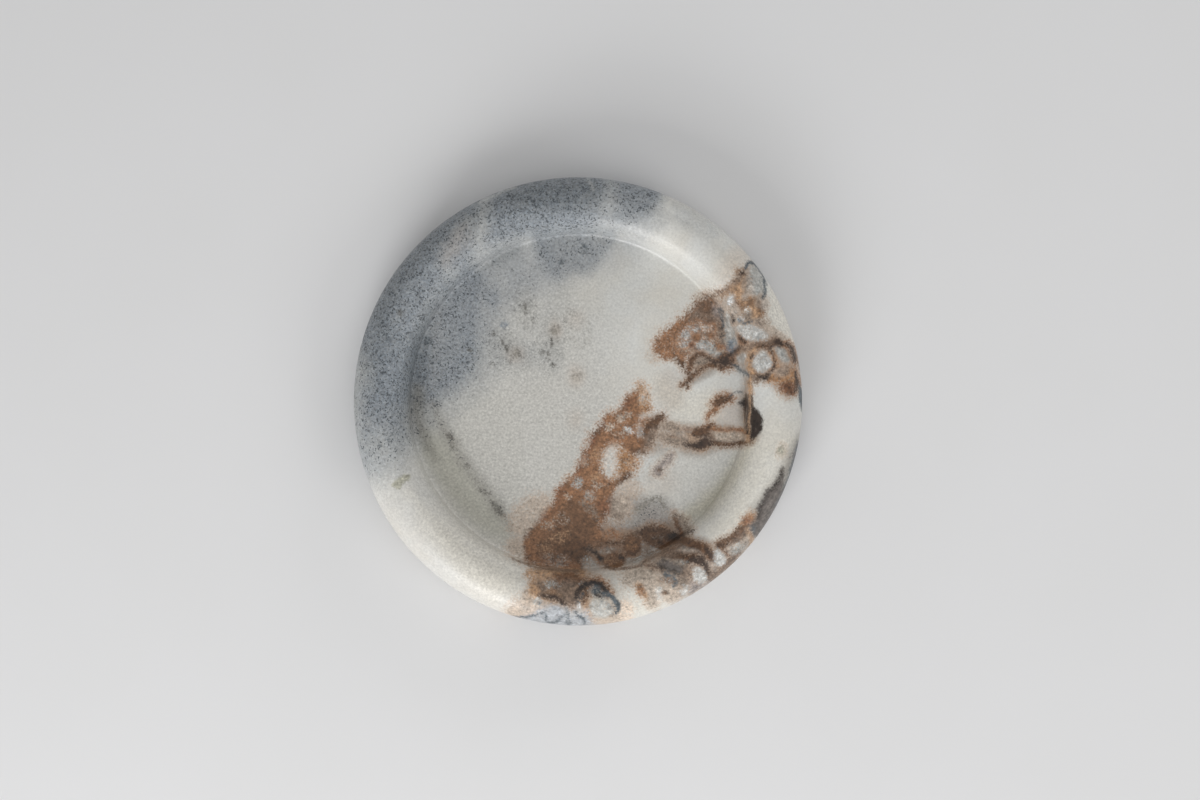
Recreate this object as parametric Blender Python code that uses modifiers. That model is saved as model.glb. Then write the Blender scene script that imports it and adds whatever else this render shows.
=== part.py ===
"""Round stone tray: one turned block of marble that stands on four stick-on felt pads.

Units are metres and +Z is up. The origin is on the table, under the middle of the tray.
"""

import math

import bpy

# Stone, driving sizes
TRAY_DIAMETER = 0.200
TRAY_HEIGHT = 0.025
RIM_WIDTH = 0.025
FLOOR_THICKNESS = 0.010
COVE_RADIUS = 0.0015

# Felt pads, driving sizes
PAD_COUNT = 4
PAD_DIAMETER = 0.018
PAD_THICKNESS = 0.002
PAD_EDGE_RADIUS = 0.0003
PAD_INSET = 0.016
GLUE_FILM = 0.0003

# Finishes: linear colour and roughness
MARBLE_COLOUR = (0.62, 0.60, 0.56)
MARBLE_ROUGHNESS = 0.38
FELT_COLOUR = (0.40, 0.39, 0.37)
FELT_ROUGHNESS = 0.95

# How finely round shapes are divided, and how closely a place is searched for
TURN_STEPS = 120
QUARTER_SEGMENTS = 9
COVE_SEGMENTS = 5
PAD_SEGMENTS = 48
PAD_EDGE_SEGMENTS = 2
SHARP_ANGLE = math.radians(30)
MERGE_DISTANCE = 0.00002
HALVINGS = 50

# Places that follow from the sizes
BASE_Z = PAD_THICKNESS + GLUE_FILM
RIM_HALF_WIDTH = RIM_WIDTH / 2
RIM_HALF_HEIGHT = TRAY_HEIGHT / 2
CREST_RADIUS = TRAY_DIAMETER / 2 - RIM_HALF_WIDTH
CREST_CENTRE_Z = BASE_Z + RIM_HALF_HEIGHT
DISH_FLOOR_Z = BASE_Z + FLOOR_THICKNESS
PAD_CIRCLE_RADIUS = CREST_RADIUS - PAD_INSET - PAD_DIAMETER / 2
QUARTER_TURN = math.pi / 2
FULL_TURN = 2 * math.pi


def empty_scene():
    """Remove every object, so that the script gives the same result each run."""
    for leftover in list(bpy.data.objects):
        bpy.data.objects.remove(leftover, do_unlink=True)


def parts_collection(name):
    """Return a new collection of the scene, which holds the finished parts."""
    collection = bpy.data.collections.new(name)
    bpy.context.scene.collection.children.link(collection)
    return collection


def plain_material(name, colour, roughness):
    """Return a non-metallic material of one colour."""
    material = bpy.data.materials.new(name)
    material.use_nodes = True
    shader = material.node_tree.nodes["Principled BSDF"]
    shader.inputs["Base Color"].default_value = (*colour, 1.0)
    shader.inputs["Roughness"].default_value = roughness
    shader.inputs["Metallic"].default_value = 0.0
    return material


def ellipse_arc(centre, half_width, half_height, start, end, segments):
    """Return the points of an elliptical arc in the profile's plane, both ends included."""
    points = []
    for step in range(segments + 1):
        angle = start + (end - start) * step / segments
        x = centre[0] + half_width * math.cos(angle)
        z = centre[1] + half_height * math.sin(angle)
        points.append((x, z))
    return points


def cove_centre_beside_rim(angle):
    """Return the centre of a cove that touches the rim's inner side at this angle of its ellipse."""
    across = math.cos(angle) / RIM_HALF_WIDTH
    upward = math.sin(angle) / RIM_HALF_HEIGHT
    length = math.hypot(across, upward)
    x = CREST_RADIUS + RIM_HALF_WIDTH * math.cos(angle) + COVE_RADIUS * across / length
    z = CREST_CENTRE_Z + RIM_HALF_HEIGHT * math.sin(angle) + COVE_RADIUS * upward / length
    return x, z


def cove_angle_on_rim():
    """Find where on the rim's ellipse the dish wall ends and the cove begins.

    The cove rests on the dish floor and touches the rim. On a deep dish it touches the rim where the
    wall is already upright, at half a turn; on a shallow one it touches higher up, nearer the crest.
    """
    target = DISH_FLOOR_Z + COVE_RADIUS
    wall_side = math.pi
    crest_side = QUARTER_TURN
    if cove_centre_beside_rim(wall_side)[1] >= target:
        return wall_side
    for _ in range(HALVINGS):
        middle = (wall_side + crest_side) / 2
        if cove_centre_beside_rim(middle)[1] < target:
            wall_side = middle
        else:
            crest_side = middle
    return (wall_side + crest_side) / 2


def tray_profile():
    """Return half of the tray's section, from the middle of the dish over the rim to the base."""
    touch = cove_angle_on_rim()
    cove = (cove_centre_beside_rim(touch)[0], DISH_FLOOR_Z + COVE_RADIUS)
    rim = (CREST_RADIUS, CREST_CENTRE_Z)
    normal = math.atan2(math.sin(touch) / RIM_HALF_HEIGHT, math.cos(touch) / RIM_HALF_WIDTH)
    points = [(0.0, DISH_FLOOR_Z)]
    points += ellipse_arc(cove, COVE_RADIUS, COVE_RADIUS, -QUARTER_TURN, normal - math.pi, COVE_SEGMENTS)
    over_rim = ellipse_arc(rim, RIM_HALF_WIDTH, RIM_HALF_HEIGHT, touch, -QUARTER_TURN, 3 * QUARTER_SEGMENTS)
    wall_is_upright = points[-1][1] < over_rim[0][1] - MERGE_DISTANCE
    points += over_rim if wall_is_upright else over_rim[1:]
    points.append((0.0, BASE_Z))
    return points


def turned_solid(name, profile, steps, collection):
    """Turn a profile round the Z axis with a Screw modifier and return the object."""
    mesh = bpy.data.meshes.new(name)
    vertices = [(x, 0.0, z) for x, z in profile]
    edges = [(index, index + 1) for index in range(len(profile) - 1)]
    mesh.from_pydata(vertices, edges, [])
    solid = bpy.data.objects.new(name, mesh)
    collection.objects.link(solid)
    screw = solid.modifiers.new("Turning", "SCREW")
    screw.axis = "Z"
    screw.angle = FULL_TURN
    screw.steps = steps
    screw.render_steps = steps
    screw.use_smooth_shade = True
    screw.use_merge_vertices = True
    screw.merge_threshold = MERGE_DISTANCE
    return solid


def make_stone_tray(collection):
    """Make the block of marble: dish, cove, full-round rim and flat base in one turned section."""
    tray = turned_solid("stone_tray", tray_profile(), TURN_STEPS, collection)
    tray.data.materials.append(plain_material("honed_marble", MARBLE_COLOUR, MARBLE_ROUGHNESS))
    return tray


def make_felt_pad(number, material, collection):
    """Make one round felt pad under the flat base, a film of glue away from the stone."""
    angle = FULL_TURN * (number - 0.5) / PAD_COUNT
    place = (PAD_CIRCLE_RADIUS * math.cos(angle), PAD_CIRCLE_RADIUS * math.sin(angle), PAD_THICKNESS / 2)
    bpy.ops.mesh.primitive_cylinder_add(
        vertices=PAD_SEGMENTS, radius=PAD_DIAMETER / 2, depth=PAD_THICKNESS, location=place
    )
    pad = bpy.context.active_object
    pad.name = f"felt_pad_{number}"
    pad.data.name = pad.name
    for holder in list(pad.users_collection):
        holder.objects.unlink(pad)
    collection.objects.link(pad)
    edge = pad.modifiers.new("Rolled edge", "BEVEL")
    edge.width = PAD_EDGE_RADIUS
    edge.segments = PAD_EDGE_SEGMENTS
    edge.limit_method = "ANGLE"
    edge.angle_limit = SHARP_ANGLE
    pad.data.shade_smooth()
    pad.data.set_sharp_from_angle(angle=SHARP_ANGLE)
    pad.data.materials.append(material)
    return pad


def main():
    """Build the whole tray."""
    empty_scene()
    parts = parts_collection("stone_tray")
    make_stone_tray(parts)
    felt = plain_material("wool_felt", FELT_COLOUR, FELT_ROUGHNESS)
    for number in range(1, PAD_COUNT + 1):
        make_felt_pad(number, felt, parts)


main()
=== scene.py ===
import math

import bmesh
import bpy
import numpy as np
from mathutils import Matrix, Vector, noise


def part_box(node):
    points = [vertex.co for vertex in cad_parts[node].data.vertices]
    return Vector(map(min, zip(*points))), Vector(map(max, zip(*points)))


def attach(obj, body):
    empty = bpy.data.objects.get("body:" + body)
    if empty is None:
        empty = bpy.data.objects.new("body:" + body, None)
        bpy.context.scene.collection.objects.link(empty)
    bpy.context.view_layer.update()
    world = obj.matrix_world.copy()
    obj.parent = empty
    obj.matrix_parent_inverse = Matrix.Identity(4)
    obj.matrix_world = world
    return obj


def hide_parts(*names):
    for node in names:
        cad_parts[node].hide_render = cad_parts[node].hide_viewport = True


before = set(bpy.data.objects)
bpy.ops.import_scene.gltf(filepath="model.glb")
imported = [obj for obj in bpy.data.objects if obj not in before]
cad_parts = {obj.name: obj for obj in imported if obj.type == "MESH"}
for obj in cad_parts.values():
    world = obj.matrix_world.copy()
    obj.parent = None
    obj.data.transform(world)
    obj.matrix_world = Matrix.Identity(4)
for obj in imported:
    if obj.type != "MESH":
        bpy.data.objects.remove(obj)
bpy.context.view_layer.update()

print("frame loaded:", ", ".join(sorted(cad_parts)))


# Small helpers

def deselectAll():
    for thing in bpy.context.selected_objects:
        thing.select_set(False)


def linearColour(hexValue):  # sRGB hex to linear RGBA
    channels = [int(hexValue[place:place + 2], 16) / 255 for place in (1, 3, 5)]
    return [level / 12.92 if level <= 0.04045 else ((level + 0.055) / 1.055) ** 2.4
            for level in channels] + [1.0]


def addNode(tree, kind, settings=None, links=None):  # a number as key is the place of a socket
    node = tree.nodes.new("ShaderNode" + kind)
    for key, value in (settings or {}).items():
        if isinstance(key, int) or key in node.inputs:
            node.inputs[key].default_value = value
        else:
            setattr(node, key, value)
    for key, source in (links or {}).items():    # a node stands for its first output
        socket = source.outputs[0] if isinstance(source, bpy.types.Node) else source
        tree.links.new(socket, node.inputs[key])
    return node


def startMaterial(name):  # the material, its nodes, its shader and the place that its patterns read
    material = bpy.data.materials.new(name)
    material.use_nodes = True
    tree = material.node_tree
    place = addNode(tree, "TexCoord").outputs["Object"]
    return material, tree, tree.nodes["Principled BSDF"], place


# The stone: a profile drawn as edges and spun round the tray's axis

trayShape = {
    "rimWidth": 25.0,          # mm, the full round seen from above
    "coveRadius": 1.5,         # mm, where the dish wall runs into the floor
    "floorThickness": 10.0,    # mm of stone under the dish
    "rimPoints": 84,           # round the rim's section
    "covePoints": 5,
    "floorRings": 64,
    "baseRings": 22,
    "spokes": 600,
}


def selectVerts(mesh, wanted):
    work = bmesh.from_edit_mesh(mesh)
    for vert in work.verts:
        vert.select = wanted(vert.co)
    work.select_flush_mode()
    bmesh.update_edit_mesh(mesh)


def turnTray():
    sizes = trayShape
    low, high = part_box("stone_tray")
    outer, baseZ, topZ = high[0], low[2], high[2]
    half = sizes["rimWidth"] / 2000    # metres, as all lengths here
    crest, middleZ = outer - half, (baseZ + topZ) / 2
    wall, floorZ = crest - half, baseZ + sizes["floorThickness"] / 1000
    tiny = 1e-5
    deselectAll()
    bpy.ops.mesh.primitive_circle_add(vertices=sizes["rimPoints"], radius=half,
                                      location=(crest, 0, middleZ), rotation=(math.pi / 2, 0, 0))
    tray = bpy.context.active_object
    tray.name = tray.data.name = "marble_tray"
    bpy.ops.object.transform_apply(location=True, rotation=True, scale=True)
    bpy.ops.object.mode_set(mode="EDIT")
    # the quarter of the round that lies inside the stone goes
    selectVerts(tray.data, lambda spot: spot.x < crest - tiny and spot.z < middleZ - tiny)
    bpy.ops.mesh.delete(type="VERT")
    # the base, in to the axis
    selectVerts(tray.data, lambda spot: spot.z < baseZ + tiny)
    bpy.ops.mesh.extrude_region_move(TRANSFORM_OT_translate={"value": (-crest, 0, 0)})
    # the dish wall down to the floor, and the floor in to the axis
    selectVerts(tray.data, lambda spot: abs(spot.x - wall) < tiny and abs(spot.z - middleZ) < tiny)
    bpy.ops.mesh.extrude_region_move(TRANSFORM_OT_translate={"value": (0, 0, floorZ - middleZ)})
    bpy.ops.mesh.extrude_region_move(TRANSFORM_OT_translate={"value": (-wall, 0, 0)})
    selectVerts(tray.data, lambda spot: abs(spot.x - wall) < tiny and abs(spot.z - floorZ) < tiny)
    bpy.ops.mesh.bevel(offset=sizes["coveRadius"] / 1000, segments=sizes["covePoints"], affect="VERTICES")
    # rings across the two flats, so that they can hold the stone's markings
    selectVerts(tray.data, lambda spot: abs(spot.z - floorZ) < tiny)
    bpy.ops.mesh.subdivide(number_cuts=sizes["floorRings"])
    selectVerts(tray.data, lambda spot: abs(spot.z - baseZ) < tiny)
    bpy.ops.mesh.subdivide(number_cuts=sizes["baseRings"])
    bpy.ops.object.mode_set(mode="OBJECT")
    bpy.ops.object.modifier_add(type="SCREW")
    turning = tray.modifiers[-1]
    turning.axis, turning.angle = "Z", 2 * math.pi
    turning.steps = turning.render_steps = sizes["spokes"]
    turning.use_merge_vertices, turning.merge_threshold = True, tiny / 2
    turning.use_smooth_shade = True
    bpy.ops.object.modifier_apply(modifier=turning.name)
    bpy.ops.object.mode_set(mode="EDIT")
    bpy.ops.mesh.select_all(action="SELECT")
    bpy.ops.mesh.remove_doubles(threshold=tiny / 2)
    bpy.ops.mesh.normals_make_consistent(inside=False)
    bpy.ops.object.mode_set(mode="OBJECT")
    bpy.ops.object.shade_smooth()
    return tray


tray = turnTray()
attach(tray, "root")
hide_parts("stone_tray")
print("tray turned:", len(tray.data.vertices), "points")


# The marble's markings, with some painted shade and light among them, in mm of the tray seen from above:
# x right, y away, from the tray's middle.
# A mark is a pigment, how full it is (1 solid, 0.3 a few crystals), how soft its edge is in mm, and
# its shape. Pairs are the outline of a patch. Threes are the path of a stroke, with half its width at
# each point. Five plain numbers are a blob: x, y, its two radii and its turn in degrees.

pigments = {
    "pearl": "#C1BFB9", "milk": "#D2D1CC", "cream": "#D6D0C2", "peach": "#D0BFAE", "blush": "#CFC6BC",
    "fawn": "#B3A698", "tan": "#AC8A6B", "sienna": "#9C7552", "rust": "#8B6548", "russet": "#78523A",
    "clay": "#776455", "brown": "#70523B", "umber": "#5B412D", "walnut": "#3F2F25", "bark": "#342A24",
    "soot": "#302723", "straw": "#BDB8A8", "drab": "#A0968C", "dun": "#87796C", "loam": "#968E87",
    "ash": "#7B756F", "cinder": "#6A635E", "moss": "#57544D", "dusk": "#7A766C", "mauve": "#938A85",
    "olive": "#ABA99A", "snow": "#DBD7CD", "pewter": "#9B9EA2", "slate": "#4E565B", "steel": "#7D848B",
    "haze": "#ACACA8", "mist": "#BBBBB8", "frost": "#C6C8C8",
}

cloudAndShadeMarks = [   # grey crystals strewn through the white, and painted shade along the left crease of the dish
    ("steel", 0.93, 9, [(40, 98), (37, 89), (32, 83), (24, 79), (10, 77), (-8, 76), (-24, 73), (-40, 67),
        (-54, 57), (-64, 46), (-72, 28), (-70, 8), (-80, -2), (-105, 0), (-98, 40), (-76, 74), (-45, 97),
        (-10, 107), (22, 106)]),
    ("steel", 0.88, 20, [(-104, 24), (-72, 24), (-68, 6), (-72, -14), (-80, -28), (-90, -33),
        (-106, -34)]),
    ("steel", 0.8, 10, [(-46, 63), (-42, 56), (-43, 47), (-44, 38), (-45, 30), (-44, 20), (-49, 11),
        (-58, 3), (-70, -2), (-77, 15), (-73, 35), (-62, 54)]),
    ("steel", 0.37, 16, [(-37, 44), (-35, 30), (-38, 14), (-46, 2), (-58, -8), (-68, -10), (-62, 16)]),
    ("steel", 0.33, 14, [(-50, 46), (-36, 42), (-26, 46), (-17, 54), (-13, 62), (-18, 74), (-36, 72),
        (-50, 62)]),
    ("steel", 0.64, 9, [(-20, 77), (-18, 65), (-14, 57), (-8, 54), (-3, 57), (4, 57), (9, 61), (13, 67),
        (16, 76), (0, 79)]),
    ("slate", 0.3, 5, [(-47, 59.5), (-40, 60.5), (-31, 63), (-26, 67), (-28, 70), (-37, 66.5),
        (-45, 62)]),
    ("steel", 0.48, 5, (-38.5, 46.5, 3.5, 4.5, 0)),
    ("steel", 0.14, 20, [(-46, 60), (-20, 62), (-4, 52), (-6, 36), (-12, 14), (-30, 10), (-46, 6),
        (-56, 20)]),
    ("steel", 0.16, 7, [(-38, 30), (-34, 28), (-26, 26), (-19, 25), (-11, 28), (-8, 22), (-9, 14),
        (-18, 17), (-30, 15), (-38, 17)]),
    # painted shade: these two strokes darken the dish wall and crease on the left, where the wall lies in
    # shade
    ("slate", 0.3, 7, [(-67, 40, 2), (-70, 28, 3.5), (-71.5, 14, 4.5), (-72, 0, 3)]),
    ("dusk", 0.6, 7, [(-71.5, 5, 2.4), (-71.5, -6, 3.4), (-69, -16, 2.4), (-64, -25, 1)]),
    ("slate", 0.3, 9, [(-88, 38, 3), (-80, 54, 4), (-66, 70, 4.5), (-52, 82, 4), (-38, 90, 3)]),
    ("steel", 0.16, 8, [(8, 72), (20, 70), (32, 73), (39, 80), (30, 84), (12, 82)]),
    ("slate", 0.38, 9, [(-34, 94), (-12, 101), (6, 100), (10, 92), (4, 85), (-14, 84), (-26, 86)]),
    ("slate", 0.22, 9, (-90, 18, 5, 12, -10)),
    ("slate", 0.16, 9, (-85, 32, 4, 8, 20)),
    ("steel", 0.22, 8, [(42, 90), (52, 86), (62, 79), (62, 73), (50, 76), (42, 84)]),
    # a smudged line on the left of the floor, and smudges round its specks
    ("dusk", 0.5, 7, [(-64, -2, 2), (-60.5, -12, 2.4), (-57, -17, 2.8), (-52.5, -25, 2.6),
        (-47, -33, 2.2), (-41, -40.5, 2.8), (-36, -47.5, 3), (-31, -55, 1.8)]),
    ("dusk", 0.46, 4, (-35.5, -48.5, 4, 1.6, -50)),
    ("dusk", 0.42, 4, (-57, -17, 3.4, 1.6, -55)),
    ("dusk", 0.16, 8, (-31, 24, 4, 7.5, 35)),
    ("dusk", 0.18, 7, (-12, 27, 3.4, 9, 5)),
    ("dusk", 0.16, 8, (-23, 43, 3, 7, 10)),
    ("dusk", 0.12, 8, (-7, 46, 4, 6, 0)),
    # a smoky veil over the lower right of the floor
    ("ash", 0.36, 9, [(12, -42), (20, -40), (30, -43), (38, -43), (44, -50), (47, -58), (30, -60),
        (12, -58)]),
    ("dusk", 0.16, 8, [(20, -24), (32, -24), (40, -24), (38, -34), (26, -36), (20, -32)]),
    ("ash", 0.3, 8, [(25, -48), (29, -44), (37, -43), (41, -48), (45, -56), (40, -61), (30, -60),
        (24, -56)]),
    ("mauve", 0.3, 5, (36, -52, 4.5, 3, 0)),
]

clearMarks = [   # streaks where the grey thins out
    (0.3, 9, [(-101, 22, 2), (-101, 4, 4), (-97, -20, 5), (-91, -32, 3)]),
    (0.34, 7, [(14.5, 97, 1.4), (14, 88, 2.6), (13, 80, 3), (9, 74, 2.6)]),
    (0.4, 2, [(4.5, 99, 0.4), (6.5, 94, 0.5)]),
    (0.4, 7, [(-41, 91, 1.2), (-42.5, 78, 2.6), (-43.5, 71, 3.2), (-44, 62, 2.4)]),
    (0.32, 6, [(-49, 79, 2), (-53, 73, 3.5), (-56, 67, 3.5), (-59, 61, 2), (-56, 56, 1.5)]),
    (0.45, 1.6, [(-44, 88.5, 0.4), (-35, 92.5, 0.4), (-28, 95.5, 0.3)]),
    (0.42, 3, [(-22, 58, 1.5), (-21.5, 64, 2), (-22, 71, 1.5)]),
    (0.3, 4, [(-33, 42, 1.5), (-33, 50, 2), (-34, 57, 1.5)]),
    (0.2, 9, [(4, 86, 3), (16, 84, 5), (30, 80, 5), (36, 76, 3)]),
    (0.3, 9, (-96, 12, 5, 9, 0)),
    (0.4, 8, (-86, -22, 5, 8, 0)),
]

tintMarks = [    # smooth warm and cool tinges in the white, with painted shade on the dish floor and painted light on the lower left rim
    # partly painted shade: this pearl wash darkens the sunken dish floor below the rim, partly the
    # stone's own greyer white
    ("pearl", 0.9, 30, (-26, -8, 44, 74, 0)),
    ("olive", 0.22, 14, [(-54, -4), (-34, 0), (-28, -26), (-32, -50), (-46, -36), (-56, -20)]),
    ("haze", 0.22, 16, [(5, 32), (24, 36), (33, 52), (24, 66), (8, 60), (1, 46)]),
    ("fawn", 0.4, 5, (33.6, 21, 3, 3, 0)),
    # partly painted shade: a darker pearl white over the left of the sunken dish floor, partly the
    # stone's own greyer white
    ("pearl", 0.8, 18, [(-60, -4), (-34, 2), (-26, -26), (-32, -52), (-48, -38), (-58, -22)]),
    ("steel", 0.34, 5, (1, -97, 6, 4, 0)),
    ("drab", 0.34, 7, [(17, -34), (24, -32), (30, -40), (34, -50), (34, -58), (22, -58), (16, -48)]),
    ("frost", 0.34, 16, [(-99, -4), (-78, -8), (-64, -28), (-68, -50), (-88, -46), (-102, -20)]),
    # grey-brown veils between the markings
    ("drab", 0.92, 6, [(60, 44), (66, 50), (74, 60), (79, 61), (81.5, 50), (81.8, 36), (91, 28), (97, 20),
        (99, 8), (94, 1), (88, 5), (84, 8), (77, 10), (70, 15), (60, 14), (54, 13), (50, 19), (60, 24),
        (64, 32)]),
    ("tan", 0.28, 6, [(57, -2), (63, 4), (73, 4.5), (77, 0), (78, -12), (64, -12), (56, -8)]),
    ("drab", 0.85, 6, [(80, -14), (76, -18), (64, -22), (48, -24), (34, -24), (26, -22), (27, -8),
        (36, -6), (45, -9), (60, -10)]),
    ("loam", 0.4, 7, [(12, -42), (20, -40), (30, -43), (38, -43), (44, -50), (47, -58), (30, -61),
        (12, -59)]),
    ("clay", 0.97, 5, [(2, -55), (14, -56), (24, -56), (34, -54), (44, -54), (48, -58), (58, -62),
        (62, -66), (61, -76), (48, -78), (38, -72), (30, -71.5), (22, -73), (10, -74), (0, -75)]),
    ("dun", 0.9, 4, [(43, -12.4), (56, -11), (72, -12), (79, -14), (77, -19), (60, -21.5), (46, -21)]),
    ("clay", 0.7, 5, [(92, 27, 1.5), (84, 25.5, 2), (76, 24.5, 2), (69, 21, 3), (64, 18, 3),
        (56, 16.5, 2), (50, 11, 2), (46.5, 7.5, 1)]),
    ("dun", 0.85, 4, [(77, 22, 1), (75.4, 12, 1.2), (74.4, 2, 1.8), (74.6, -8, 2), (75.5, -16, 2)]),
    ("dun", 0.75, 4, [(73, 43), (79, 43), (80, 36), (75, 33), (71, 37)]),
    ("ash", 0.85, 6, [(99, -14), (93, -22), (89.5, -30), (84, -37), (79, -44), (74.5, -54), (80, -60),
        (96, -44), (104, -18)]),
    ("clay", 0.8, 4, [(63, -63.5, 1.5), (70, -60, 2), (75, -54, 2)]),
    ("drab", 0.78, 6, [(28, -72), (36, -69), (44, -67), (60, -64), (74, -54), (80, -56), (72, -70),
        (56, -84), (44, -88), (36, -85), (28, -79)]),
    ("drab", 0.88, 6, [(-23, -90), (-20, -80), (-12, -73), (2, -73), (12, -78), (18, -83), (20, -92),
        (14, -103), (-24, -103)]),
    ("clay", 0.8, 4, [(-12, -84), (-8, -77), (2, -77), (4, -82), (5, -87), (0, -92), (-6, -88)]),
    ("fawn", 0.8, 4, [(-33, -96), (-27, -90), (-20, -87), (-14, -92), (-20, -99), (-30, -99)]),
    ("pewter", 0.85, 5, [(-26, -97), (-20, -92), (-6, -90), (4, -92), (8, -97), (4, -104), (-24, -104)]),
    ("fawn", 0.6, 5, [(3, -74.5, 1.5), (12, -76.6, 1.5), (22, -76, 1.5), (30, -74, 1.5)]),
    ("pearl", 0.6, 12, [(40, -20), (74, -20), (72, -36), (60, -52), (46, -50), (40, -38)]),
    ("pewter", 0.4, 14, [(-62, 40), (-42, 68), (0, 84), (36, 84), (28, 66), (0, 54), (-28, 44),
        (-44, 28)]),
    ("dun", 0.6, 3, [(48, 8), (53, 12.6), (60, 14.6), (60, 12), (54, 9), (50, 6)]),
    ("straw", 0.85, 8, [(77, -18, 1), (71, -29, 2.6), (64, -39, 3.6), (56, -47, 4), (48, -52, 3)]),
    ("fawn", 0.4, 6, [(-25, -57, 1.5), (-27, -65, 2.5), (-25, -70, 1.5)]),
    ("peach", 0.4, 9, [(63, 52), (68, 53), (74, 60), (77, 64), (73, 69), (67, 66), (62, 58)]),
    ("snow", 0.9, 6, [(84, 49), (85, 36), (91, 30), (97, 22), (100, 26), (94, 42), (88, 54)]),
    ("cream", 0.32, 14, [(16, -76), (34, -80), (38, -93), (10, -99), (-4, -96), (8, -84)]),
    ("cream", 0.4, 16, [(80, -16), (98, -14), (90, -34), (74, -54), (60, -60), (70, -36)]),
    ("blush", 0.18, 18, [(-88, -44), (-70, -46), (-48, -66), (-26, -76), (-26, -98), (-70, -78)]),
    # painted light: a brighter white over the lower left rim and the dish wall inside it, where the lamps
    # fall and light bounces
    ("snow", 0.66, 10, [(-76, -38), (-60, -50), (-42, -62), (-26, -70), (-24, -78), (-36, -88),
        (-52, -76), (-68, -58)]),
    ("cream", 0.2, 10, [(-62, -56), (-50, -64), (-36, -72), (-26, -80), (-34, -86), (-54, -74)]),
    ("olive", 0.6, 9, [(-70, -12), (-61, -16), (-52, -28), (-42, -42), (-33, -54), (-32, -62), (-46, -56),
        (-60, -40), (-70, -24)]),
    ("cream", 0.5, 10, [(36, 12), (50, 5), (60, 6), (62, -6), (50, -10), (38, -3), (32, 6)]),
    ("tan", 0.36, 8, [(-50, 78), (-57, 74), (-62, 66), (-60, 60), (-53, 62), (-48, 70)]),
    ("fawn", 0.45, 6, [(-62, 42, 1.5), (-64, 26, 2), (-65, 10, 2), (-66, 0, 1.5)]),
    ("fawn", 0.36, 7, (36, -36, 8, 6, 0)),
    ("fawn", 0.42, 7, [(38, 14), (46, 13), (48, 6), (45, -3), (38, -4), (34, 4)]),
    ("fawn", 0.26, 7, [(-14, -42), (-12, -48), (-20, -56), (-28, -60), (-30, -52), (-22, -44)]),
    ("dun", 0.5, 5, [(47, -15), (60, -14), (62, -20), (56, -25), (47, -23)]),
    ("tan", 0.24, 6, (-1, 11, 3.5, 4.5, 0)),
    ("tan", 0.14, 7, (-1, 37, 4, 4, 0)),
    ("tan", 0.16, 7, (-1, -8, 3, 4, 0)),
    ("tan", 0.28, 5, (-10, 32, 2.5, 4, 0)),
    ("tan", 0.24, 5, (-28, 21, 4, 3.5, 0)),
]

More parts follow.
